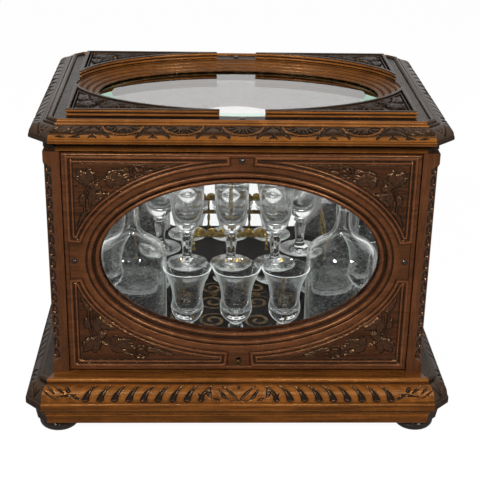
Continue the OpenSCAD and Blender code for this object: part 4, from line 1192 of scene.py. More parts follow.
@dataclass
class CornerPanel:
    """A carved panel that fills a corner between an oval moulding and a rectangle."""

    x0: float
    x1: float
    y0: float
    y1: float
    oval_a: float
    oval_b: float
    relief: float
    border: float = 7.2
    beaded_wall: bool = False
    dense: bool = False
    rows: int = 92
    columns: int = 230
    field_level: float = 0.42

    def end_angles(self) -> Pair:
        """Directions, from the oval's centre, of the panel's upright end and its level end."""
        return (math.atan2(self.oval_b * math.sqrt(1 - (self.x0 / self.oval_a) ** 2), self.x0),
                math.atan2(self.y0, self.oval_a * math.sqrt(1 - (self.y0 / self.oval_b) ** 2)))

    def flat_grid(self) -> Grids:
        """Flat places of the grid: columns sweep from the upright end to the level end."""
        start, stop = self.end_angles()
        corner = math.atan2(self.y1, self.x1)
        first = int(self.columns * 0.6)
        angle = np.concatenate([np.linspace(start, corner, first, endpoint=False),
                                np.linspace(corner, stop, self.columns - first)])
        cos, sin = np.cos(angle), np.sin(angle)
        inner = 1 / np.sqrt((cos / self.oval_a) ** 2 + (sin / self.oval_b) ** 2)
        outer = np.minimum(self.x1 / np.maximum(cos, 1e-6), self.y1 / np.maximum(sin, 1e-6))
        share = np.linspace(0, 1, self.rows)[:, None]
        radius = inner + (outer - inner) * share
        x, y = radius * cos, radius * sin
        x[:, 0] = self.x0
        return x, y

    def edge_gap(self, x: Array, y: Array) -> Array:
        """Distance from each place to the panel's nearest edge."""
        f = np.sqrt((x / self.oval_a) ** 2 + (y / self.oval_b) ** 2)
        slope = np.hypot(x / self.oval_a ** 2, y / self.oval_b ** 2) / np.maximum(f, 1e-6)
        oval = (f - 1) / slope
        start, stop = self.end_angles()
        end_low = -x * math.sin(stop) + y * math.cos(stop)
        end_high = x * math.sin(start) - y * math.cos(start)
        return np.minimum.reduce([oval, self.x1 - x, self.y1 - y, end_low, end_high])

    def heights(self, x: Array, y: Array) -> Fields:
        """Height over the frame, depth in hollows for painted shade, and wear with painted highlight at
        each place.
        """
        e = np.clip(self.edge_gap(x, y), 0, None)
        b = self.border
        outer = b * 0.50
        inner_mid = b * 0.80
        r = self.relief
        bead = r * np.sqrt(np.clip(1 - ((e - outer / 2) / (outer / 2)) ** 2, 0, 1)) ** 0.6
        if self.beaded_wall:
            bead = np.where(e < outer, r * (0.9 + 0.1 * np.clip(bead / r, 0, 1)), 0.0)
        second = r * 0.86 * np.sqrt(np.clip(1 - ((e - inner_mid) / (b * 0.16)) ** 2, 0, 1)) ** 0.7
        ground = r * self.field_level * smoothstep(b * 0.96, b * 1.06, e)
        low = r * 0.30
        h = np.maximum(np.maximum(bead, second), np.maximum(ground, low * (e > outer * 0.5)))
        # The grooves beside the beads and the panel's edge are painted dark as shade; the beads' crests
        # are painted light as wear and highlight.
        dark = np.clip(hump(e, b * 0.57, 0.45)
                       + hump(e, b * 1.00, 0.45) * 0.9
                       + hump(e, 0.0, 0.35) * 0.5, 0, 1)
        worn = np.clip(hump(e, outer / 2, 0.9)
                       + hump(e, inner_mid, 0.7), 0, 1)
        foliage = Foliage(self.x1 - self.x0, self.y1 - self.y0, self.dense)
        rise, hollow = foliage.carve(self.x1 - x, self.y1 - y)
        inside = smoothstep(b * 1.02, b * 1.25, e)
        h = h + inside * r * (rise * (1.02 - self.field_level) - 0.22 * hollow * (rise < 0.12))
        dark = np.maximum(dark, hollow * inside)
        worn = np.maximum(worn, inside * smoothstep(0.45, 0.9, rise) * 0.8)
        return np.minimum(h, r), dark, worn

    def wall_profile(self) -> list[tuple[float, float, float, float]]:
        """Inset, height, painted shade, and wear with painted highlight down the panel's wall."""
        r = self.relief
        if not self.beaded_wall:
            return [(0.0, -0.3, 0.25, 0.0)]
        rows = []
        for middle, half, u_from in ((0.70 * r, 0.22 * r, 0.9), (0.21 * r, 0.20 * r, 1.0)):
            for u in np.linspace(u_from, -1.0, 7):
                bulge = math.sqrt(max(0.0, 1 - u * u))
                rows.append((1.1 * (1 - bulge), middle + u * half, 0.9 * (1 - bulge), bulge))
            rows.append((1.4, middle - 1.08 * half, 1.0, 0.0))
        return rows + [(1.0, -2.0, 1.0, 0.0)]

    def surfaces(self, place: Place, corner: Corner) -> list[Surface]:
        """Builds the panel's face and its walls.

        Args:
            place: Turns flat x, y and height into points of the frame.
            corner: Which corner the panel fills.

        Returns:
            The face and the wall round it.
        """
        x, y = self.flat_grid()
        h, dark, worn = self.heights(x, y)
        sx, sy = corner.value
        flip = sx * sy > 0
        face = place(sx * x, sy * y, h)
        surfaces = [grid_surface(face, flip=flip, recess=dark, ridge=worn)]
        rim = [(x[0], y[0], h[0]), (x[:, -1], y[:, -1], h[:, -1]),
               (x[-1, ::-1], y[-1, ::-1], h[-1, ::-1]), (x[::-1, 0], y[::-1, 0], h[::-1, 0])]
        ex, ey, eh = (np.concatenate([edge[i] for edge in rim]) for i in range(3))
        apart = np.hypot(np.roll(ex, -1) - ex, np.roll(ey, -1) - ey) > 1e-6
        ex, ey, eh = ex[apart], ey[apart], eh[apart]
        profile = self.wall_profile()
        rows = [(ex, ey, eh)] + [(*inset_loop(ex, ey, inset), np.full_like(eh, height))
                                 for inset, height, _, _ in profile]
        wall = place(sx * np.stack([row[0] for row in rows]), sy * np.stack([row[1] for row in rows]),
                     np.stack([row[2] for row in rows]))
        shade = np.array([(0.2, 0.4)] + [row[2:] for row in profile])
        surfaces.append(grid_surface(wall, wrap_u=True, flip=not flip,
                                     finish=int(self.beaded_wall), recess=shade[:, :1],
                                     ridge=shade[:, 1:]))
        return surfaces


@dataclass
class OvalRing:
    """An oval moulding swept round a window."""

    a: float
    b: float
    stretch: Pair = (1.0, 1.0)
    steps: int = 288

    def surface(self, profile: Outline, place: Place, finish: int = 0, worn: float = 0.4) -> Surface:
        """Sweeps (distance out from the glass, height) round the window."""
        prof = np.array(profile, dtype=float)
        turn = np.linspace(0, TURN, self.steps, endpoint=False)[None, :]
        x = (self.a + prof[:, :1] * self.stretch[0]) * np.cos(turn)
        y = (self.b + prof[:, :1] * self.stretch[1]) * np.sin(turn)
        # Hollows of the profile are marked for painted shade, and what stands proud for wear and painted
        # highlight.
        mean = np.convolve(np.pad(prof[:, 1], 2, mode="edge"), np.ones(5) / 5, mode="valid")
        low = np.clip((mean - prof[:, 1]) * 0.9, 0, 1)
        high = np.clip((prof[:, 1] - mean) * 1.2 + 0.2, 0, 1) * worn / 0.4
        return grid_surface(place(x, y, prof[:, 1:2]), wrap_u=True, finish=finish,
                            recess=low[:, None], ridge=np.clip(high, 0, 1)[:, None])


def oval_to_rectangle(a: float, b: float, low: Spot, high: Spot,
                      rows: int, extra_deg: Spot = ()) -> Grids:
    """Flat places between an oval and a rectangle round it.

    Args:
        a: Half width of the oval.
        b: Half height of the oval.
        low: Rectangle's low corner, from the oval's centre.
        high: Rectangle's high corner.
        rows: Rows from the oval out to the rectangle.
        extra_deg: More directions at which to put a column.

    Returns:
        The two flat coordinates.
    """
    corners = [math.atan2(y, x) % (TURN) for x in (low[0], high[0]) for y in (low[1], high[1])]
    turn = np.unique(np.concatenate([np.linspace(0, TURN, 240, endpoint=False), corners,
                                     np.radians(extra_deg) % (TURN)]))
    cos, sin = np.cos(turn), np.sin(turn)
    inner = np.stack([a * cos, b * sin])
    edge_x = np.where(cos > 0, high[0], low[0]) / np.where(np.abs(cos) < 1e-9, 1e-9, cos)
    edge_y = np.where(sin > 0, high[1], low[1]) / np.where(np.abs(sin) < 1e-9, 1e-9, sin)
    radius = np.minimum(np.abs(edge_x), np.abs(edge_y))
    outer = np.stack([radius * cos, radius * sin])
    share = np.linspace(0, 1, rows)[:, None]
    return (inner[0] + (outer[0] - inner[0]) * share, inner[1] + (outer[1] - inner[1]) * share)


def rectangle_sweep(low: Spot, high: Spot, profile: Outline, place: Place) -> Surface:
    """Sweeps (distance in from the edge, height) round a rectangle with mitred corners."""
    prof = np.array(profile, dtype=float)
    inset = prof[:, 0]
    xs = np.stack([low[0] + inset, high[0] - inset, high[0] - inset, low[0] + inset], axis=1)
    ys = np.stack([low[1] + inset, low[1] + inset, high[1] - inset, high[1] - inset], axis=1)
    return grid_surface(place(xs, ys, prof[:, 1:2]), wrap_u=True, ridge=0.3)


def bevelled_pane(node: str, a: float, b: float, bevel: float, thick: float, place: Place,
                  finishes: list[Material], body: str) -> None:
    """Builds an oval pane with a bevelled edge on its outer face.

    Args:
        node: CAD node that it stands for.
        a: Half width of the pane.
        b: Half height of the pane.
        bevel: Width of the bevel.
        thick: Thickness of the pane.
        place: Turns flat x, y and height above the pane's back into points.
        finishes: The pane's and the bevel's materials.
        body: CAD body that it moves with.
    """
    ring = OvalRing(a, b)
    share = np.linspace(0, 1, 14)[:, None]
    turn = np.linspace(0, TURN, ring.steps, endpoint=False)[None, :]

    def disc(inset: float, h: float, flip: bool) -> Surface:
        x, y = (a - inset) * share * np.cos(turn), (b - inset) * share * np.sin(turn)
        return grid_surface(place(x, y, h), wrap_u=True, flip=flip)

    edge = [(0.0, 0.0), (0.0, thick - 1.8)]
    slope = [(0.0, thick - 1.8), (-bevel, thick)]
    parts = [disc(0.0, 0.0, True), disc(bevel, thick, False), ring.surface(edge, place, worn=0.0),
             ring.surface(slope, place, finish=1, worn=0.0)]
    make_piece(f"{node}_bevelled", parts, finishes, body, [node], sharp_deg=8)


@dataclass
class Front:
    """The windowed front that hangs under the lid."""

    sizes: CaseSizes
    shop: Workshop
    ring_w: float = 17.0
    pane_lap: float = 6.0
    bevel: float = 16.0
    edge_bead: float = 4.2
    keyhole_r: float = 2.2
    keyhole_up: float = 9.5
    panel_split: float = 9.3
    shadow_h: float = 1.8
    tips: Pair = (16.6, 15.4)

    def __post_init__(self) -> None:
        """Reads the front's places from its CAD nodes."""
        low, high = box_mm("front_frame")
        glass_low, glass_high = box_mm("front_glass")
        panel_low, _ = box_mm("front_panel_upper_left")
        self.low, self.high = low, high
        self.back_y = high[1]
        self.face_y = box_mm("front_panel_upper_left")[1][1]
        self.relief = self.face_y - panel_low[1]
        self.pane_front = glass_low[1]
        self.pane_back = glass_high[1]
        self.oval_z = (glass_low[2] + glass_high[2]) / 2
        lap = self.pane_lap - PANE_PLAY
        self.a = (glass_high[0] - glass_low[0]) / 2 - lap
        self.b = (glass_high[2] - glass_low[2]) / 2 - lap
        self.place = sheet((0, self.face_y, self.oval_z), EAST, UP, TO_FRONT)

    def build(self) -> None:
        """Builds the frame, panels, glass and lock."""
        self.build_frame()
        self.build_panels()
        self.build_glass()
        self.shop.dress({"front_studs": "ebonised", "front_glazing_bead": "red_walnut_x",
                         "lock_case": "brass", "lock_bolt": "steel"})

    def build_frame(self) -> None:
        """Builds the frame with its oval moulding, edge bead and keyhole."""
        deep = self.pane_front - self.face_y
        ring = ([(0.0, -deep), (0.0, -deep + 0.8)] + arc(2.0, -deep + 1.4, 2.0, 2.2, 180, 0, 8)
                + [(4.2, -deep + 1.1), (5.4, -deep + 1.3), (6.0, -deep + 2.2), (6.2, -1.4)]
                + arc(8.3, -1.0, 2.1, 2.1, 175, 5, 8)
                + [(10.6, -1.6), (11.5, -1.6), (11.8, -0.5), (12.4, -0.1), (self.ring_w, 0.0)])
        parts = [OvalRing(self.a, self.b).surface(ring, self.place)]
        low = (-self.high[0], self.low[2] - self.oval_z)
        high = (self.high[0], self.high[2] - self.shadow_h - self.oval_z)
        bead = self.edge_bead
        keyhole_z = self.low[2] + self.keyhole_up - self.oval_z
        fine = np.linspace(-94.5, -85.5, 61)
        x, y = oval_to_rectangle(self.a + self.ring_w, self.b + self.ring_w,
                                 (low[0] + bead, low[1] + bead), (high[0] - bead, high[1] - bead),
                                 46, fine)
        h, dark = self.keyhole(x, y - keyhole_z)
        parts.append(grid_surface(self.place(x, y, h), wrap_u=True, recess=dark,
                                  ridge=0.25 * (1 - dark)))
        edge = ([(0.0, self.face_y - self.back_y), (0.0, 0.2)]
                + arc(bead / 2, 0.2, bead / 2, self.relief * 0.8, 175, 5, 8) + [(bead, 0.0)])
        parts.append(rectangle_sweep(low, high, edge, self.place))
        x, y = oval_to_rectangle(self.a + self.pane_lap, self.b + self.pane_lap, low, high, 2)
        parts.append(grid_surface(self.place(x, y, self.face_y - self.back_y + FLAT_GAP),
                                  wrap_u=True, flip=True))
        wall = [(self.pane_lap, self.face_y - self.back_y), (self.pane_lap, -deep), (0.0, -deep)]
        parts.append(OvalRing(self.a, self.b).surface(wall, self.place))
        piece = make_piece("front_frame_carved", parts, self.shop.get("red_walnut_x"), "lid",
                           ["front_frame"])
        lock_low, lock_high = box_mm("lock_case")
        open_slot(piece, (lock_low[0] - SLOT_ROOM, lock_low[1] - SLOT_ROOM, lock_low[2] - 0.5),
                  (lock_high[0] + SLOT_ROOM, lock_high[1] + 0.5, lock_high[2] + SLOT_ROOM))
        # A black fillet under the frieze paints the shadow in the gap between the frieze and the frame.
        rail = [(0.0, -6.0), (0.0, -2.2), (self.shadow_h / 2, -2.0)]
        top = (high[0], self.high[2] - self.oval_z)
        fillet = rectangle_sweep((low[0], high[1] - 0.4), top, rail, self.place)
        make_piece("front_shadow_rail", [fillet], self.shop.get("ebonised"), "lid")

    def keyhole(self, x: Array, y: Array) -> Grids:
        """Sinks the keyhole: a round hole over a tapering slot, painted dark inside and round its edge as
        shade.
        """
        r = self.keyhole_r
        round_gap = np.hypot(x, y) - r
        slot_half = np.clip(0.55 * r - y * 0.12, 0.9, None)
        slot_gap = np.maximum(np.abs(x) - slot_half, np.maximum(y, -y - 2.6 * r))
        gap = np.minimum(round_gap, slot_gap)
        inside = 1 - smoothstep(-0.35, 0.15, gap)
        return -7.0 * inside, np.maximum(inside, hump(gap, 0.3, 0.4) * 0.5)

    def build_panels(self) -> None:
        """Builds the four carved corner panels."""
        for row, tip in (("upper", self.tips[0]), ("lower", self.tips[1])):
            for col in ("left", "right"):
                node = f"front_panel_{row}_{col}"
                low, high = box_mm(node)
                edge = high[2] - self.oval_z if row == "upper" else self.oval_z - low[2]
                panel = CornerPanel(self.panel_split, max(-low[0], high[0]), tip, edge,
                                    self.a + self.ring_w, self.b + self.ring_w, self.relief)
                sx = -1 if col == "left" else 1
                sy = 1 if row == "upper" else -1
                make_piece(f"{node}_carved", panel.surfaces(self.place, Corner((sx, sy))),
                           self.shop.get("red_walnut_x"), "lid", [node])

    def build_glass(self) -> None:
        """Builds the bevelled front glass."""
        lap = self.pane_lap - PANE_PLAY
        bevelled_pane("front_glass", self.a + lap, self.b + lap, self.bevel,
                      self.pane_back - self.pane_front,
                      sheet((0, self.pane_back, self.oval_z), EAST, UP, TO_FRONT),
                      self.shop.get("window_glass", "window_bevel"), "lid")


@dataclass
class Lid:
    """The lid: a cornice with lunettes round a moulded oval window and four carved panels."""

    sizes: CaseSizes
    shop: Workshop
    chamfer: float = 18.0
    split_x: float = 19.0
    split_y: float = 20.0
    ring_a: float = 148.5
    ring_b: float = 96.0
    pane_lap: float = 6.0
    bevel: float = 17.0
    board_t: float = 14.0
    board_in: float = 9.1
    board_sink: float = 0.25

    def __post_init__(self) -> None:
        """Reads the lid's places from its CAD nodes."""
        glass_low, glass_high = box_mm("lid_glass")
        panel_low, panel_high = box_mm("lid_panel_rear_right")
        lap = self.pane_lap - PANE_PLAY
        self.a = glass_high[0] - lap
        self.b = glass_high[1] - lap
        self.glass_low, self.glass_top = glass_low[2], glass_high[2]
        self.panel = (panel_high[0], panel_high[1])
        self.panel_h = panel_high[2] - panel_low[2]
        self.place = sheet((0, 0, self.sizes.board_top), EAST, NORTH, UP)

    def build(self) -> None:
        """Builds the cornice, the board, the panels and the glass."""
        self.build_frame()
        for corner in Corner:
            node = f"lid_panel_{corner.tag}"
            panel = CornerPanel(self.split_x, self.panel[0], self.split_y, self.panel[1],
                                self.ring_a, self.ring_b, self.panel_h, border=6.4,
                                field_level=0.66, beaded_wall=True, dense=True)
            # The panel's top takes the grey, shaded walnut and its walls the golden, lit one: painted
            # shade and sheen, and painted light.
            make_piece(f"{node}_carved", panel.surfaces(self.place, corner),
                       self.shop.get("grey_walnut_x", "golden_walnut_x"), "lid",
                       [node])
        lap = self.pane_lap - PANE_PLAY
        bevelled_pane("lid_glass", self.a + lap, self.b + lap, self.bevel,
                      self.glass_top - self.glass_low, sheet((0, 0, self.glass_low), EAST, NORTH, UP),
                      self.shop.get("lid_window_glass", "lid_window_bevel"), "lid")
        # The glazing bead takes the grey, shaded walnut: painted shade.
        self.shop.dress({"lid_glazing_bead": "grey_walnut_x", "lid_studs": "ebonised",
                         "hinge_leaves_moving": "brass"})

    def board_surface(self) -> Surface:
        """The flat board between the moulding and the cornice, painted a little dark as shade."""
        reach = (self.sizes.half_w - self.board_in, self.sizes.half_d - self.board_in)
        x, y = oval_to_rectangle(self.ring_a, self.ring_b, (-reach[0], -reach[1]), reach, 3)
        return grid_surface(self.place(x, y, -self.board_sink - FLAT_GAP), wrap_u=True, finish=2,
                            recess=0.15)

    def build_frame(self) -> None:
        """Builds the cornice and the board with its oval moulding."""
        s = self.sizes
        moulding = Moulding(s, s.cornice_reach, self.chamfer)
        r, low, top = s.cornice_reach, s.seam, s.board_top
        band_w, band_h = r - 1, 8.6
        foot = top - 2 - band_h
        below = ([(-s.post_w, low + 10), (-s.post_w, low), (0, low), (0.6, low + 0.4),
                  (0.6, low + 4.6), (-0.2, low + 5.0), (0, low + 6.2)]
                 + arc(r - 2.6, low + 6.2, 2.6 - r, 3.4, 10, 80, 6)
                 + [(r - 0.8, low + 9.7), (r - 0.3, low + 10), (r, low + 10.6), (r, foot - 1.0),
                    (r - 0.4, foot - 0.3)])
        band = arc(r - 0.6 - band_w, foot, band_w, band_h, 0, 84, 26)
        above = ([band[-1], (-0.5, top - 2.0)] + arc(-1.9, top - 1.6, 1.2, 1.3, 10, 170, 6)
                 + [(-3.3, top - 2.0)] + arc(-5.8, top - 0.3, 2.2, 2.2, 0, 178, 9)
                 + [(-8.3, top - 0.9), (-8.7, top - 0.25), (-9.2, top - 0.25)])
        parts = moulding.run(below, (0, 1))
        parts += moulding.run(band, (0, 1), (700, 24), LunetteBand())
        parts += moulding.run(above, (0, 1))
        parts.append(self.board_surface())
        wide = (self.ring_a - self.a, self.ring_b - self.b)
        ring = OvalRing(self.a, self.b, (wide[0] / 20, wide[1] / 20))
        glass = self.glass_top - top
        steps = ([(0.0, glass), (0.0, -6.5)] + arc(2.5, -6.6, 2.2, 0.85, 180, 10, 8)
                 + [(4.9, -6.5), (5.1, -5.4)] + arc(7.9, -5.0, 2.4, 1.0, 180, 10, 8)
                 + [(10.5, -5.0), (10.8, -3.8)] + arc(13.2, -3.3, 2.0, 1.0, 180, 10, 8)
                 + [(15.4, -3.3), (15.7, -2.1)] + arc(17.6, -1.9, 1.7, 0.9, 180, 10, 8)
                 + [(19.6, -1.9), (20.0, -1.6), (20.0, -0.25)])
        parts.append(ring.surface(steps, self.place, worn=0.5))
        under = s.board_top - self.board_t - top
        lap = self.pane_lap
        x, y = oval_to_rectangle(self.a + lap, self.b + lap,
                                 (-s.half_w + s.post_w, -s.half_d + s.post_w),
                                 (s.half_w - s.post_w, s.half_d - s.post_w), 2)
        parts.append(grid_surface(self.place(x, y, under + FLAT_GAP), wrap_u=True, finish=2, flip=True))
        inner = [(-s.post_w, low), (-s.post_w, top + under)]
        parts += Moulding(s, -s.post_w, 0.2).run(inner, (2, 2))
        wall = [(lap, under), (lap, glass), (0.0, glass)]
        parts.append(OvalRing(self.a, self.b).surface(wall, self.place, finish=2))
        # The cornice takes its darker walnut, and the ends, the board and the inside the grey, shaded one:
        # painted shade.
        make_piece("lid_frame_carved", parts,
                   self.shop.get("cornice_walnut", "grey_walnut_y", "grey_walnut_x"), "lid",
                   ["lid_frame"])


@dataclass
class Case:
    """Posts, side and back panels, their windows, and the fixed half of the hinges."""

    sizes: CaseSizes
    shop: Workshop
    chamfer: float = 7.0
    stop: float = 12.0
    pitch: float = 11.0
    pane_lap: float = 6.0
    bevel: float = 12.0
    bead_in: Pair = (5.0, 6.0)

    def build(self) -> None:
        """Carves the posts and dresses the walls of the case."""
        for corner in Corner:
            self.build_post(corner)
        for panel, glass, across, out in (
                ("side_panel_left", "side_glass_left", TO_FRONT, WEST),
                ("side_panel_right", "side_glass_right", NORTH, EAST),
                ("back_panel", "back_glass", WEST, NORTH)):
            self.build_wall(panel, glass, across, out)
        # The side and back panels take the grey, shaded walnut: painted shade.
        self.shop.dress({"side_panel_left": "grey_walnut_z", "side_panel_right": "grey_walnut_z",
                         "back_panel": "grey_walnut_x", "case_glazing_beads": "red_walnut_z",
                         "hinge_leaves_fixed": "brass", "hinge_pins": "brass"})

    def build_wall(self, panel: str, glass: str, across: Sequence[int], out_way: Sequence[int]) -> None:
        """Lays an oval moulding, an edge bead and a bevelled pane on one wall.

        Args:
            panel: CAD node of the wall.
            glass: CAD node of its pane.
            across: Direction to the right, seen from outside.
            out_way: Direction out of the case.
        """
        along, out, side = int(across[0] == 0), int(out_way[0] == 0), sum(out_way)
        low, high = box_mm(panel)
        pane_low, pane_high = box_mm(glass)
        face = high[out] if side > 0 else -low[out]
        pane_back = pane_low[out] if side > 0 else -pane_high[out]
        lap = self.pane_lap - PANE_PLAY
        a = (pane_high[along] - pane_low[along]) / 2 - lap
        b = (pane_high[2] - pane_low[2]) / 2 - lap
        middle = (pane_low[2] + pane_high[2]) / 2
        on_face, on_pane = (sheet([level * k for k in out_way[:2]] + [middle], across, UP, out_way)
                            for level in (face, pane_back))
        ring = ([(0.05, -3.0), (0.05, 0.4)] + arc(1.8, 0.4, 1.7, 1.2, 180, 10, 8)
                + [(3.8, 0.5), (5.0, 0.6), (5.4, 1.2)] + arc(7.2, 0.9, 1.8, 1.0, 175, 5, 8)
                + [(9.4, 0.7), (12.6, 0.5), (13.0, -0.1)])
        parts = [OvalRing(a, b).surface(ring, on_face)]
        half = high[along] - self.bead_in[0]
        edge = [(0.0, -0.1)] + arc(1.9, 0.2, 1.9, 1.3, 175, 5, 8) + [(4.2, 0.3), (4.6, -0.1)]
        parts.append(rectangle_sweep((-half, low[2] + self.bead_in[1] - middle),
                                     (half, high[2] - self.bead_in[1] - middle), edge, on_face))
        # The moulding takes the grey, shaded walnut: painted shade.
        finish = "grey_walnut_x" if along == 0 else "grey_walnut_z"
        make_piece(f"{panel}_moulding", parts, self.shop.get(finish), "case")
        bevelled_pane(glass, a + lap, b + lap, self.bevel, pane_high[out] - pane_low[out], on_pane,
                      self.shop.get("window_glass", "window_bevel"), "case")

    def carve_chain(self, z: Array, across: Array) -> Grids:
        """Depth and shade of a chain of ovals with seeds, at z up the post and -1 to 1 across."""
        q = (z / self.pitch) % 1.0 - 0.5
        far = np.hypot(q / 0.44, across / 0.82)
        rim = hump(far, 0.86, 0.14)
        seed = np.hypot(q / 0.17, across / 0.30)
        hollow = smoothstep(0.9, 1.15, seed) * (far < 0.86)
        return rim + 0.75 * hollow, np.clip(rim + 0.65 * hollow, 0, 1)

    def build_post(self, place: Corner) -> None:
        """Cuts one corner post with a stopped chamfer and a carved chain down it."""
        node = f"post_{place.tag}"
        low, high = box_mm(node)
        sx, sy = place.value
        w = high[0] - low[0]
        corner = (high[0] if sx > 0 else low[0], high[1] if sy > 0 else low[1])
        z = np.linspace(0, high[2] - low[2], 420)[:, None]
        open_share = (smoothstep(self.stop - 4, self.stop + 3, z)
                      * (1 - smoothstep(z[-1, 0] - self.stop - 3, z[-1, 0] - self.stop + 4, z)))
        cut = np.maximum(self.chamfer * open_share, 0.05)
        share = np.linspace(0, 1, 15)[None, :]
        depth, dark = self.carve_chain(z, share * 2 - 1 + 0 * z)
        depth = depth * open_share / math.sqrt(2) * np.sin(np.pi * np.clip(share, 0, 1)) ** 0.3
        strips = [([w, 0.0], [w, w], 0.0), ([0.0, 0.0], np.hstack([w + 0 * z, cut]), 0.0),
                  (cut * share + depth, cut * (1 - share) + depth, dark * open_share),
                  (np.hstack([cut, w + 0 * z]), [0.0, 0.0], 0.0), ([w, w], [0.0, w], 0.0)]
        parts = []
        for u, v, hollow in strips:
            x, y = corner[0] - sx * (u + 0 * z), corner[1] - sy * (v + 0 * z)
            parts.append(grid_surface(np.stack([x, y, low[2] + z + 0 * x], axis=2),
                                      flip=sx * sy < 0, recess=hollow, ridge=0.35 * (1 - hollow)))
        for height, over in ((high[2], sx * sy > 0), (low[2], sx * sy < 0)):
            end = sheet((*corner, height), (-sx, 0, 0), (0, -sy, 0), UP)
            flat = end(np.array([[0, w], [0, w]]), np.array([[0, 0], [w, w]]), 0)
            parts.append(grid_surface(flat, flip=over))
        # The front posts take the plain walnut and the rear posts the grey, shaded one: painted shade.
        finish = "red_walnut_z" if sy < 0 else "grey_walnut_z"
        make_piece(f"{node}_carved", parts, self.shop.get(finish), "case", [node])


@dataclass
class Caddy:
    """The lift-out caddy with its tray, tier, gallery and glassware."""

    shop: Workshop
    rail_half: float = 41.0
    side_half: float = 20.0
    mid_half: float = 35.0
    mid_y: float = -3.0
    rail_t: float = 1.4
    low_rail: float = 18.2
    glass_pitch: float = 41.03
    rosette_at: Pair = (21.5, 37.5)
    rosette_r: float = 5.4
    post_drop: float = 4.0

    def build(self) -> None:
        """Dresses the caddy and blows the glass."""
        self.shop.dress({"caddy_tray": "black_lacquer", "caddy_tier": "black_lacquer",
                         "caddy_columns": "gilt", "caddy_handle": "gilt"})
        self.build_gallery()
        self.build_inlay()
        self.build_glasses()
        self.build_decanters()

    def build_gallery(self) -> None:
        """Casts the gilt gallery: scalloped rails on little balusters."""
        low, high = box_mm("caddy_gallery")
        foot, top = low[2], high[2]
        middle = (low[0] + high[0]) / 2
        rear_y = high[1] - self.rail_t / 2
        sides = (low[0] + self.rail_t / 2, high[0] - self.rail_t / 2)
        crest, second = top - 8.2, foot + self.low_rail - 4.4
        post_h = top - self.post_drop - foot
        runs = [((middle - self.rail_half, rear_y), (middle + self.rail_half, rear_y))]
        runs += [((x, -self.side_half), (x, self.side_half)) for x in sides]
        parts: list[Surface] = []
        posts: list[tuple[float, float, float]] = []
        for start, stop in runs:
            parts.append(self.rail(start, stop, crest, 4.6, 3.4, 9.0))
            parts.append(self.rail(start, stop, second, 3.8, 0.6, 4.5))
            posts += [(*start, post_h), (*stop, post_h)]
        posts += [(middle + s * self.glass_pitch / 2, rear_y, post_h) for s in (-1, 1)]
        ends = ((middle - self.mid_half, self.mid_y), (middle + self.mid_half, self.mid_y))
        parts.append(self.rail(*ends, foot + self.low_rail - 5.0, 5.2, 4.2, 11.0))
        posts += [(*end, self.low_rail) for end in ends]
        for x, y, height in posts:
            r = self.rail_t * 0.62
            profile = ([(0.01, 0.0), (r * 2.1, 0.0), (r * 2.1, 1.0), (r * 1.2, 1.6)]
                       + arc(r * 0.9, height * 0.30, r * 0.8, height * 0.12, -80, 80, 6)
                       + [(r * 0.9, height * 0.5), (r * 1.5, height * 0.56), (r * 0.9, height * 0.62),
                          (r, height - 1.0), (0.01, height)])
            parts.append(lathe(profile, (x, y, foot), 14))
        make_piece("gallery_cast", parts, self.shop.get("gilt"), "caddy",
                   ["caddy_gallery"])

    def rail(self, start: Pair, stop: Pair, foot: float, height: float, scallop: float,
             pitch: float) -> Surface:
        """Casts one rail with a row of scallops, each with a boss.

        Args:
            start: Flat place of one end.
            stop: Flat place of the other end.
            foot: Height of its lower edge.
            height: Height of the plain part.
            scallop: Height of the scallops over it.
            pitch: Wanted distance between scallops.

        Returns:
            The rail's surface.
        """
        a, b = np.array(start), np.array(stop)
        length = float(np.hypot(*(b - a)))
        count = max(1, int(length / pitch))
        u = np.linspace(0, 1, count * 12 + 1)
        phase = (u * count) % 1.0 - 0.5
        arch = np.sqrt(np.clip(1 - (phase / 0.47) ** 2, 0, 1))
        top = height + scallop * arch
        wide = self.rail_t / 2 * (0.8 + 0.45 * hump(phase, 0.0, 0.2))
        along = (b - a) / length
        out = np.array([along[1], -along[0]])
        section = [(-0.8, 0.0), (-1.1, 0.25), (-0.75, 0.5), (-1.0, 0.75), (-0.5, 0.96), (0.0, 1.0),
                   (0.5, 0.96), (1.0, 0.75), (0.75, 0.5), (1.1, 0.25), (0.8, 0.0)]
        rows = []
        for side, share in section:
            flat = a + u[:, None] * (b - a) + (side * wide)[:, None] * out
            rows.append(np.hstack([flat, (foot + share * top)[:, None]]))
        return grid_surface(np.stack(rows), wrap_v=True, flip=True)

    def build_inlay(self) -> None:
        """Lays gilt scrolls, an edge line and four rosettes on the tray."""
        _, high = box_mm("caddy_tray")
        top = high[2]
        plan = ((22, 20, 15, 1.6, 1), (22, 52, 13, 1.5, -1), (52, 12, 14, 1.5, 1),
                (60, 84, 12, 1.4, -1), (12, 84, 10, 1.4, 1), (128, 20, 12, 1.5, -1))
        signs = [(sx, sy) for sx in (-1, 1) for sy in (-1, 1)]
        parts = [self.scroll(sx * x, sy * y, r, turns, spin * sx * sy, top)
                 for sx, sy in signs for x, y, r, turns, spin in plan]
        half = (high[0] - 5, high[1] - 5)
        edge = [(0, 0.0), (0, 0.15), (1.2, 0.15), (1.2, 0.0)]
        parts.append(rectangle_sweep((-half[0], -half[1]), half, edge,
                                     sheet((0, 0, top), EAST, NORTH, UP)))
        parts += [self.rosette(sx * self.rosette_at[0], sy * self.rosette_at[1], self.rosette_r, top)
                  for sx, sy in signs]
        make_piece("tray_inlay", parts, self.shop.get("old_gilt"), "caddy")

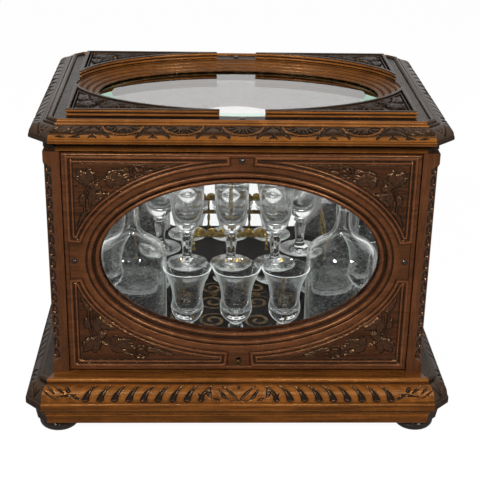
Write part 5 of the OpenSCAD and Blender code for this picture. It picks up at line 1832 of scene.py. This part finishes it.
    @staticmethod
    def rosette(cx: float, cy: float, radius: float, top: float) -> Surface:
        """One small cast rosette with eight petals and a boss."""
        turn = np.linspace(0, TURN, 64, endpoint=False)
        share = np.linspace(0.02, 1, 12)[:, None]
        petal = np.abs(np.cos(turn * 4))[None, :]
        reach = radius * share * (0.72 + 0.28 * petal ** 0.6)
        height = np.where(share < 0.3, 1.5 - 3.0 * share ** 2,
                          (0.25 + 1.0 * petal) * np.sin(np.pi * np.clip(share, 0.3, 1)))
        height = np.maximum(height, 0.0) * (share < 0.999)
        rows = np.stack([cx + reach * np.cos(turn), cy + reach * np.sin(turn), top + height], axis=2)
        return grid_surface(rows, wrap_u=True)

    @staticmethod
    def scroll(cx: float, cy: float, radius: float, turns: float, spin: int, top: float) -> Surface:
        """One flat scroll of inlay that winds in and thickens to an eye."""
        t = np.linspace(0, 1, 60)
        angle = spin * (t * turns * TURN + 0.6)
        r = radius * (1 - t * 0.82)
        wide = 0.5 + 1.1 * np.sin(np.pi * t) + 1.2 * t ** 6
        cos, sin = np.cos(angle), np.sin(angle)
        rows = [np.stack([cx + (r + s * wide) * cos, cy + (r + s * wide) * sin,
                          np.full(t.shape, top + lift)], axis=1)
                for s, lift in ((-1, 0.0), (-1, 0.18), (1, 0.18), (1, 0.0))]
        return grid_surface(np.stack(rows), flip=spin < 0)

    def blow(self, node: str, profile: Callable[[float, float], list[Pair]], count: int,
             steps: int, finish: str, facet: Callable[[Array, Array], Array] | None = None) -> None:
        """Blows what one CAD node holds, evenly spaced in its box and turned from one profile."""
        low, high = box_mm(node)
        across = 0 if count == 1 else 1
        r, y = (high[across] - low[across]) / 2, (low[1] + high[1]) / 2
        outline = profile(r, high[2] - low[2])
        parts = [lathe(outline, (x, y, low[2]), steps, facet)
                 for x in np.linspace(low[0] + r, high[0] - r, count)]
        make_piece(f"{node}_blown", parts, self.shop.get(finish), "caddy", [node],
                   sharp_deg=50)

    def build_glasses(self) -> None:
        """Blows the two kinds of stemmed glass."""
        for kind, profile, stem in (("bell", self.bell_profile, (12, 24)),
                                    ("tulip", self.tulip_profile, (8, 36))):
            for row, count in (("front", 3), ("rear", 3), ("side", 2)):
                self.blow(f"{kind}_glasses_{row}", profile, count, 56, f"{kind}_crystal",
                          self.stem_facets(*stem))

    @staticmethod
    def stem_facets(low: float, high: float) -> Callable[[Array, Array], Array]:
        """Flattens a stem to eight facets between two heights."""
        def facet(height: Array, turn: Array) -> Array:
            sector = np.pi / 4
            local = (turn % sector) - sector / 2
            flat = math.cos(sector / 2) / np.cos(local)
            share = smoothstep(low, low + 2, height) * (1 - smoothstep(high - 2, high, height))
            return 1 + (flat * 1.04 - 1) * share
        return facet

    @staticmethod
    def stem_foot(r: float) -> list[Pair]:
        """Outline of a glass's foot, out to its edge."""
        return [(0.01, 0.6), (12, 0.2), (r - 0.9, 0), (r, 0.5), (r - 0.2, 1.3)]

    @staticmethod
    def lip(r: float, top: float) -> list[Pair]:
        """Outline of a glass's rounded lip, from the outside to the inside."""
        return curve((r, top - 0.3), (r - 0.1, top), (r - 0.7, top), (r - 0.8, top - 0.4), 3)

    def bell_profile(self, rim: float, top: float, foot: float = 19.4) -> list[Pair]:
        """Profile of a bell glass, outside from the foot up and inside down again."""
        out = (self.stem_foot(foot) + curve((foot - 0.2, 1.3), (10, 2.6), (4, 4.4), (3.4, 11), 8)
               + curve((3.4, 11), (3.2, 15), (3.2, 18), (4.2, 20.5), 4)
               + arc(3.4, 24.4, 3.6, 2.7, -60, 60, 6) + [(4.2, 28.2)]
               + curve((4.2, 28.2), (7.5, 32), (14.4, 35), (14.6, 44), 8)
               + curve((14.6, 44), (14.6, 49), (13.4, 50), (13.4, 54), 4)
               + curve((13.4, 54), (13.6, 68), (18.6, 75), (rim, top - 0.3), 12))
        inside = (self.lip(rim, top)
                  + curve((rim - 0.8, top - 0.4), (17.8, 75), (12.6, 68), (12.3, 54), 12)
                  + curve((12.3, 54), (12.4, 44), (9.5, 40.6), (0.01, 40.2), 8))
        return out + inside

    def tulip_profile(self, foot: float, top: float, rim: float = 15.9) -> list[Pair]:
        """Profile of a tulip glass, outside from the foot up and inside down again."""
        out = (self.stem_foot(foot) + curve((foot - 0.2, 1.3), (10, 2.6), (4.6, 4), (4.4, 9), 8)
               + curve((4.4, 9), (3.0, 13), (5.2, 20), (5.2, 26), 8)
               + [(3.4, 29.0)] + arc(4.0, 31, 2.4, 1.6, -70, 70, 5) + [(4.4, 33.6)]
               + curve((4.4, 33.6), (10, 35.5), (13.4, 42), (14.8, 56), 10)
               + [(15.4, 66), (rim - 0.1, 76), (rim, top - 0.3)])
        inside = (self.lip(rim, top) + [(14.9, 74), (14.4, 66)]
                  + curve((14.4, 66), (14.0, 50), (11, 41.5), (0.01, 41), 10))
        return out + inside

    def build_decanters(self) -> None:
        """Blows the four decanters and cuts their stoppers."""
        for corner in Corner:
            self.blow(f"decanter_{corner.tag}", self.decanter_profile, 1, 72, "decanter_crystal")
            node = f"stopper_{corner.tag}"
            low, high = box_mm(node)
            centre = ((low[0] + high[0]) / 2, (low[1] + high[1]) / 2, low[2])
            row, col = corner.tag.split("_")
            make_piece(f"{node}_cut", [lathe(self.stopper_profile(), centre, 10)],
                       self.shop.get("bell_crystal"), f"stopper_{row[0]}{col[0]}",
                       [node], sharp_deg=10)

    @staticmethod
    def decanter_profile(r: float, h: float) -> list[Pair]:
        """Profile of a decanter with a domed shoulder."""
        side, neck, wall = 87.0, 7.2, 2.4
        out = ([(0.01, 1.5), (20, 0.6), (r - 3, 0.0), (r - 0.6, 0.8), (r, 3), (r, side * 0.5), (r, side)]
               + curve((r, side), (r, side + 20), (neck + 1, side + 13), (neck, h - 23), 16)
               + [(neck, h - 8)]
               + curve((neck, h - 8), (neck, h - 4), (neck + 3, h - 3), (neck + 3, h - 1), 4)
               + [(neck + 2.6, h), (5.2, h)])
        inside = ([(4.88, h - 0.5), (4.88, h - 23)]
                  + curve((4.88, h - 23), (neck - 1, side + 10), (r - wall, side + 18),
                          (r - wall, side - 1), 14)
                  + [(r - wall, side * 0.5), (r - wall, 9), (r - wall - 3, 5.6), (0.01, 5.0)])
        return out + inside

    @staticmethod
    def stopper_profile() -> list[Pair]:
        """Profile of a stopper with a faceted ball, from the plug's foot."""
        return [(0.01, 0), (4.2, 0), (4.75, 0.6), (4.75, 14.2), (8.6, 14.4), (8.8, 15.6), (5.4, 17.6),
                (5.0, 18.4), (9.0, 22), (11.6, 27), (12.0, 30.4), (11.2, 34), (8.2, 39), (4.6, 41.6),
                (3.4, 43.6), (0.01, 46.2)]


@dataclass
class Studio:
    """Floor, light and camera."""

    target_mm: tuple[float, float, float] = (0.0, 0.0, 150.0)
    camera_mm: tuple[float, float, float] = (-33.365, -1019.79, 575.18)
    pitch_deg: float = -23.2595
    yaw_deg: float = 2.0694
    roll_deg: float = 1.0653
    lens_mm: float = 86.39
    backdrop_from: float = -0.15
    backdrop_full: float = 0.45
    room_dim: float = 0.10
    fill: float = 0.5
    paper_seen: float = 0.97
    paper_lit: Colour = (0.17, 0.165, 0.16)

    def build(self) -> None:
        """Sets up the studio."""
        self.place_camera()
        self.lay_floor()
        self.hang_lights()
        self.paint_world()
        scene = bpy.context.scene
        scene.view_settings.view_transform = "Standard"
        scene.cycles.max_bounces = 20
        scene.cycles.transmission_bounces = 18
        scene.cycles.transparent_max_bounces = 24

    def place_camera(self) -> None:
        """Puts the camera where the photograph was taken."""
        pitch, yaw, roll = (math.radians(v) for v in (self.pitch_deg, self.yaw_deg, self.roll_deg))
        look = Vector((math.sin(yaw) * math.cos(pitch), math.cos(yaw) * math.cos(pitch),
                       math.sin(pitch)))
        right = Vector((math.cos(yaw), -math.sin(yaw), 0))
        up = right.cross(look)
        side = math.cos(roll) * right + math.sin(roll) * up
        top = -math.sin(roll) * right + math.cos(roll) * up
        data = bpy.data.cameras.new("camera")
        data.lens = self.lens_mm
        data.sensor_width = 36.0
        data.clip_start = 0.05
        data.clip_end = 20.0
        camera = add_object("camera", data)
        turn = Matrix((side, top, -look)).transposed().to_4x4()
        camera.matrix_world = Matrix.Translation(Vector(self.camera_mm) * MM) @ turn
        bpy.context.scene.camera = camera

    def lay_floor(self) -> None:
        """Lays a wide white floor that fades into the white behind it."""
        mesh = bpy.data.meshes.new("floor")
        half = 6.0
        mesh.from_pydata([(-half, -half, 0), (half, -half, 0), (half, half, 0), (-half, half, 0)],
                         [], [(0, 1, 2, 3)])
        floor = add_object("floor", mesh)
        material = bpy.data.materials.new("white_paper")
        material.use_nodes = True
        tree = material.node_tree
        seen = add_node(tree, "ShaderNodeLightPath").outputs["Is Camera Ray"]
        paper = mix_colours(tree, seen, self.paper_lit, (self.paper_seen,) * 3)
        shader = set_inputs(tree.nodes["Principled BSDF"], {"Roughness": 0.9, "Base Color": paper})
        glow = add_node(tree, "ShaderNodeEmission", {"Strength": 1.0})
        mix = add_node(tree, "ShaderNodeMixShader", {0: math_node(tree, "MULTIPLY", seen, self.paper_seen),
                                                     1: shader.outputs[0], 2: glow.outputs[0]})
        set_inputs(tree.nodes["Material Output"], {"Surface": mix.outputs[0]})
        mesh.materials.append(material)

    def hang_lights(self) -> None:
        """Hangs the soft lights and two small lamps that sparkle in the glass."""
        target = Vector(self.target_mm) * MM
        for name, place, size, power in (
                ("key_left", (-0.9, -1.65, 1.35), 0.32, 46.0),
                ("key_right", (0.95, -1.55, 1.25), 0.32, 37.0),
                ("over_head", (0.0, 0.3, 2.0), 0.9, 8.0),
                ("lamp_one", (-0.30, -1.6, 1.25), 0.07, 4.0),
                ("lamp_two", (0.12, -1.6, 1.15), 0.07, 4.0)):
            data = bpy.data.lights.new(name, "AREA")
            data.size = size
            data.energy = power
            lamp = add_object(name, data)
            lamp.location = place
            lamp.rotation_mode = "QUATERNION"
            lamp.rotation_quaternion = (target - Vector(place)).to_track_quat("-Z", "Y")

    def paint_world(self) -> None:
        """White to the eye, a white backdrop behind the cabinet and a dim room before it."""
        world = bpy.data.worlds.new("white_room")
        bpy.context.scene.world = world
        world.use_nodes = True
        tree = world.node_tree
        place = add_node(tree, "ShaderNodeTexCoord").outputs["Generated"]
        back = add_node(tree, "ShaderNodeSeparateXYZ", {0: place}).outputs["Y"]
        room = map_range(tree, back, self.backdrop_from, self.backdrop_full, self.room_dim, 1.0)
        rays = add_node(tree, "ShaderNodeLightPath").outputs
        sharp = math_node(tree, "MAXIMUM", rays["Is Glossy Ray"], rays["Is Transmission Ray"])
        share = math_node(tree, "MULTIPLY_ADD", sharp, 1 - self.fill, self.fill)
        strength = math_node(tree, "MAXIMUM", rays["Is Camera Ray"],
                             math_node(tree, "MULTIPLY", room, share))
        set_inputs(tree.nodes["Background"], {"Color": (1, 1, 1), "Strength": strength})


def main() -> None:
    """Builds the whole scene in order."""
    logging.basicConfig(level=logging.INFO, format="%(name)s: %(message)s")
    shop = Workshop()
    shop.prepare()
    sizes = CaseSizes.from_frame()
    for part in (Studio(), Plinth(sizes, shop), Case(sizes, shop), Lid(sizes, shop),
                 Front(sizes, shop), Caddy(shop)):
        part.build()
        LOG.info("%s built", type(part).__name__)


if __name__ == "__main__":
    main()
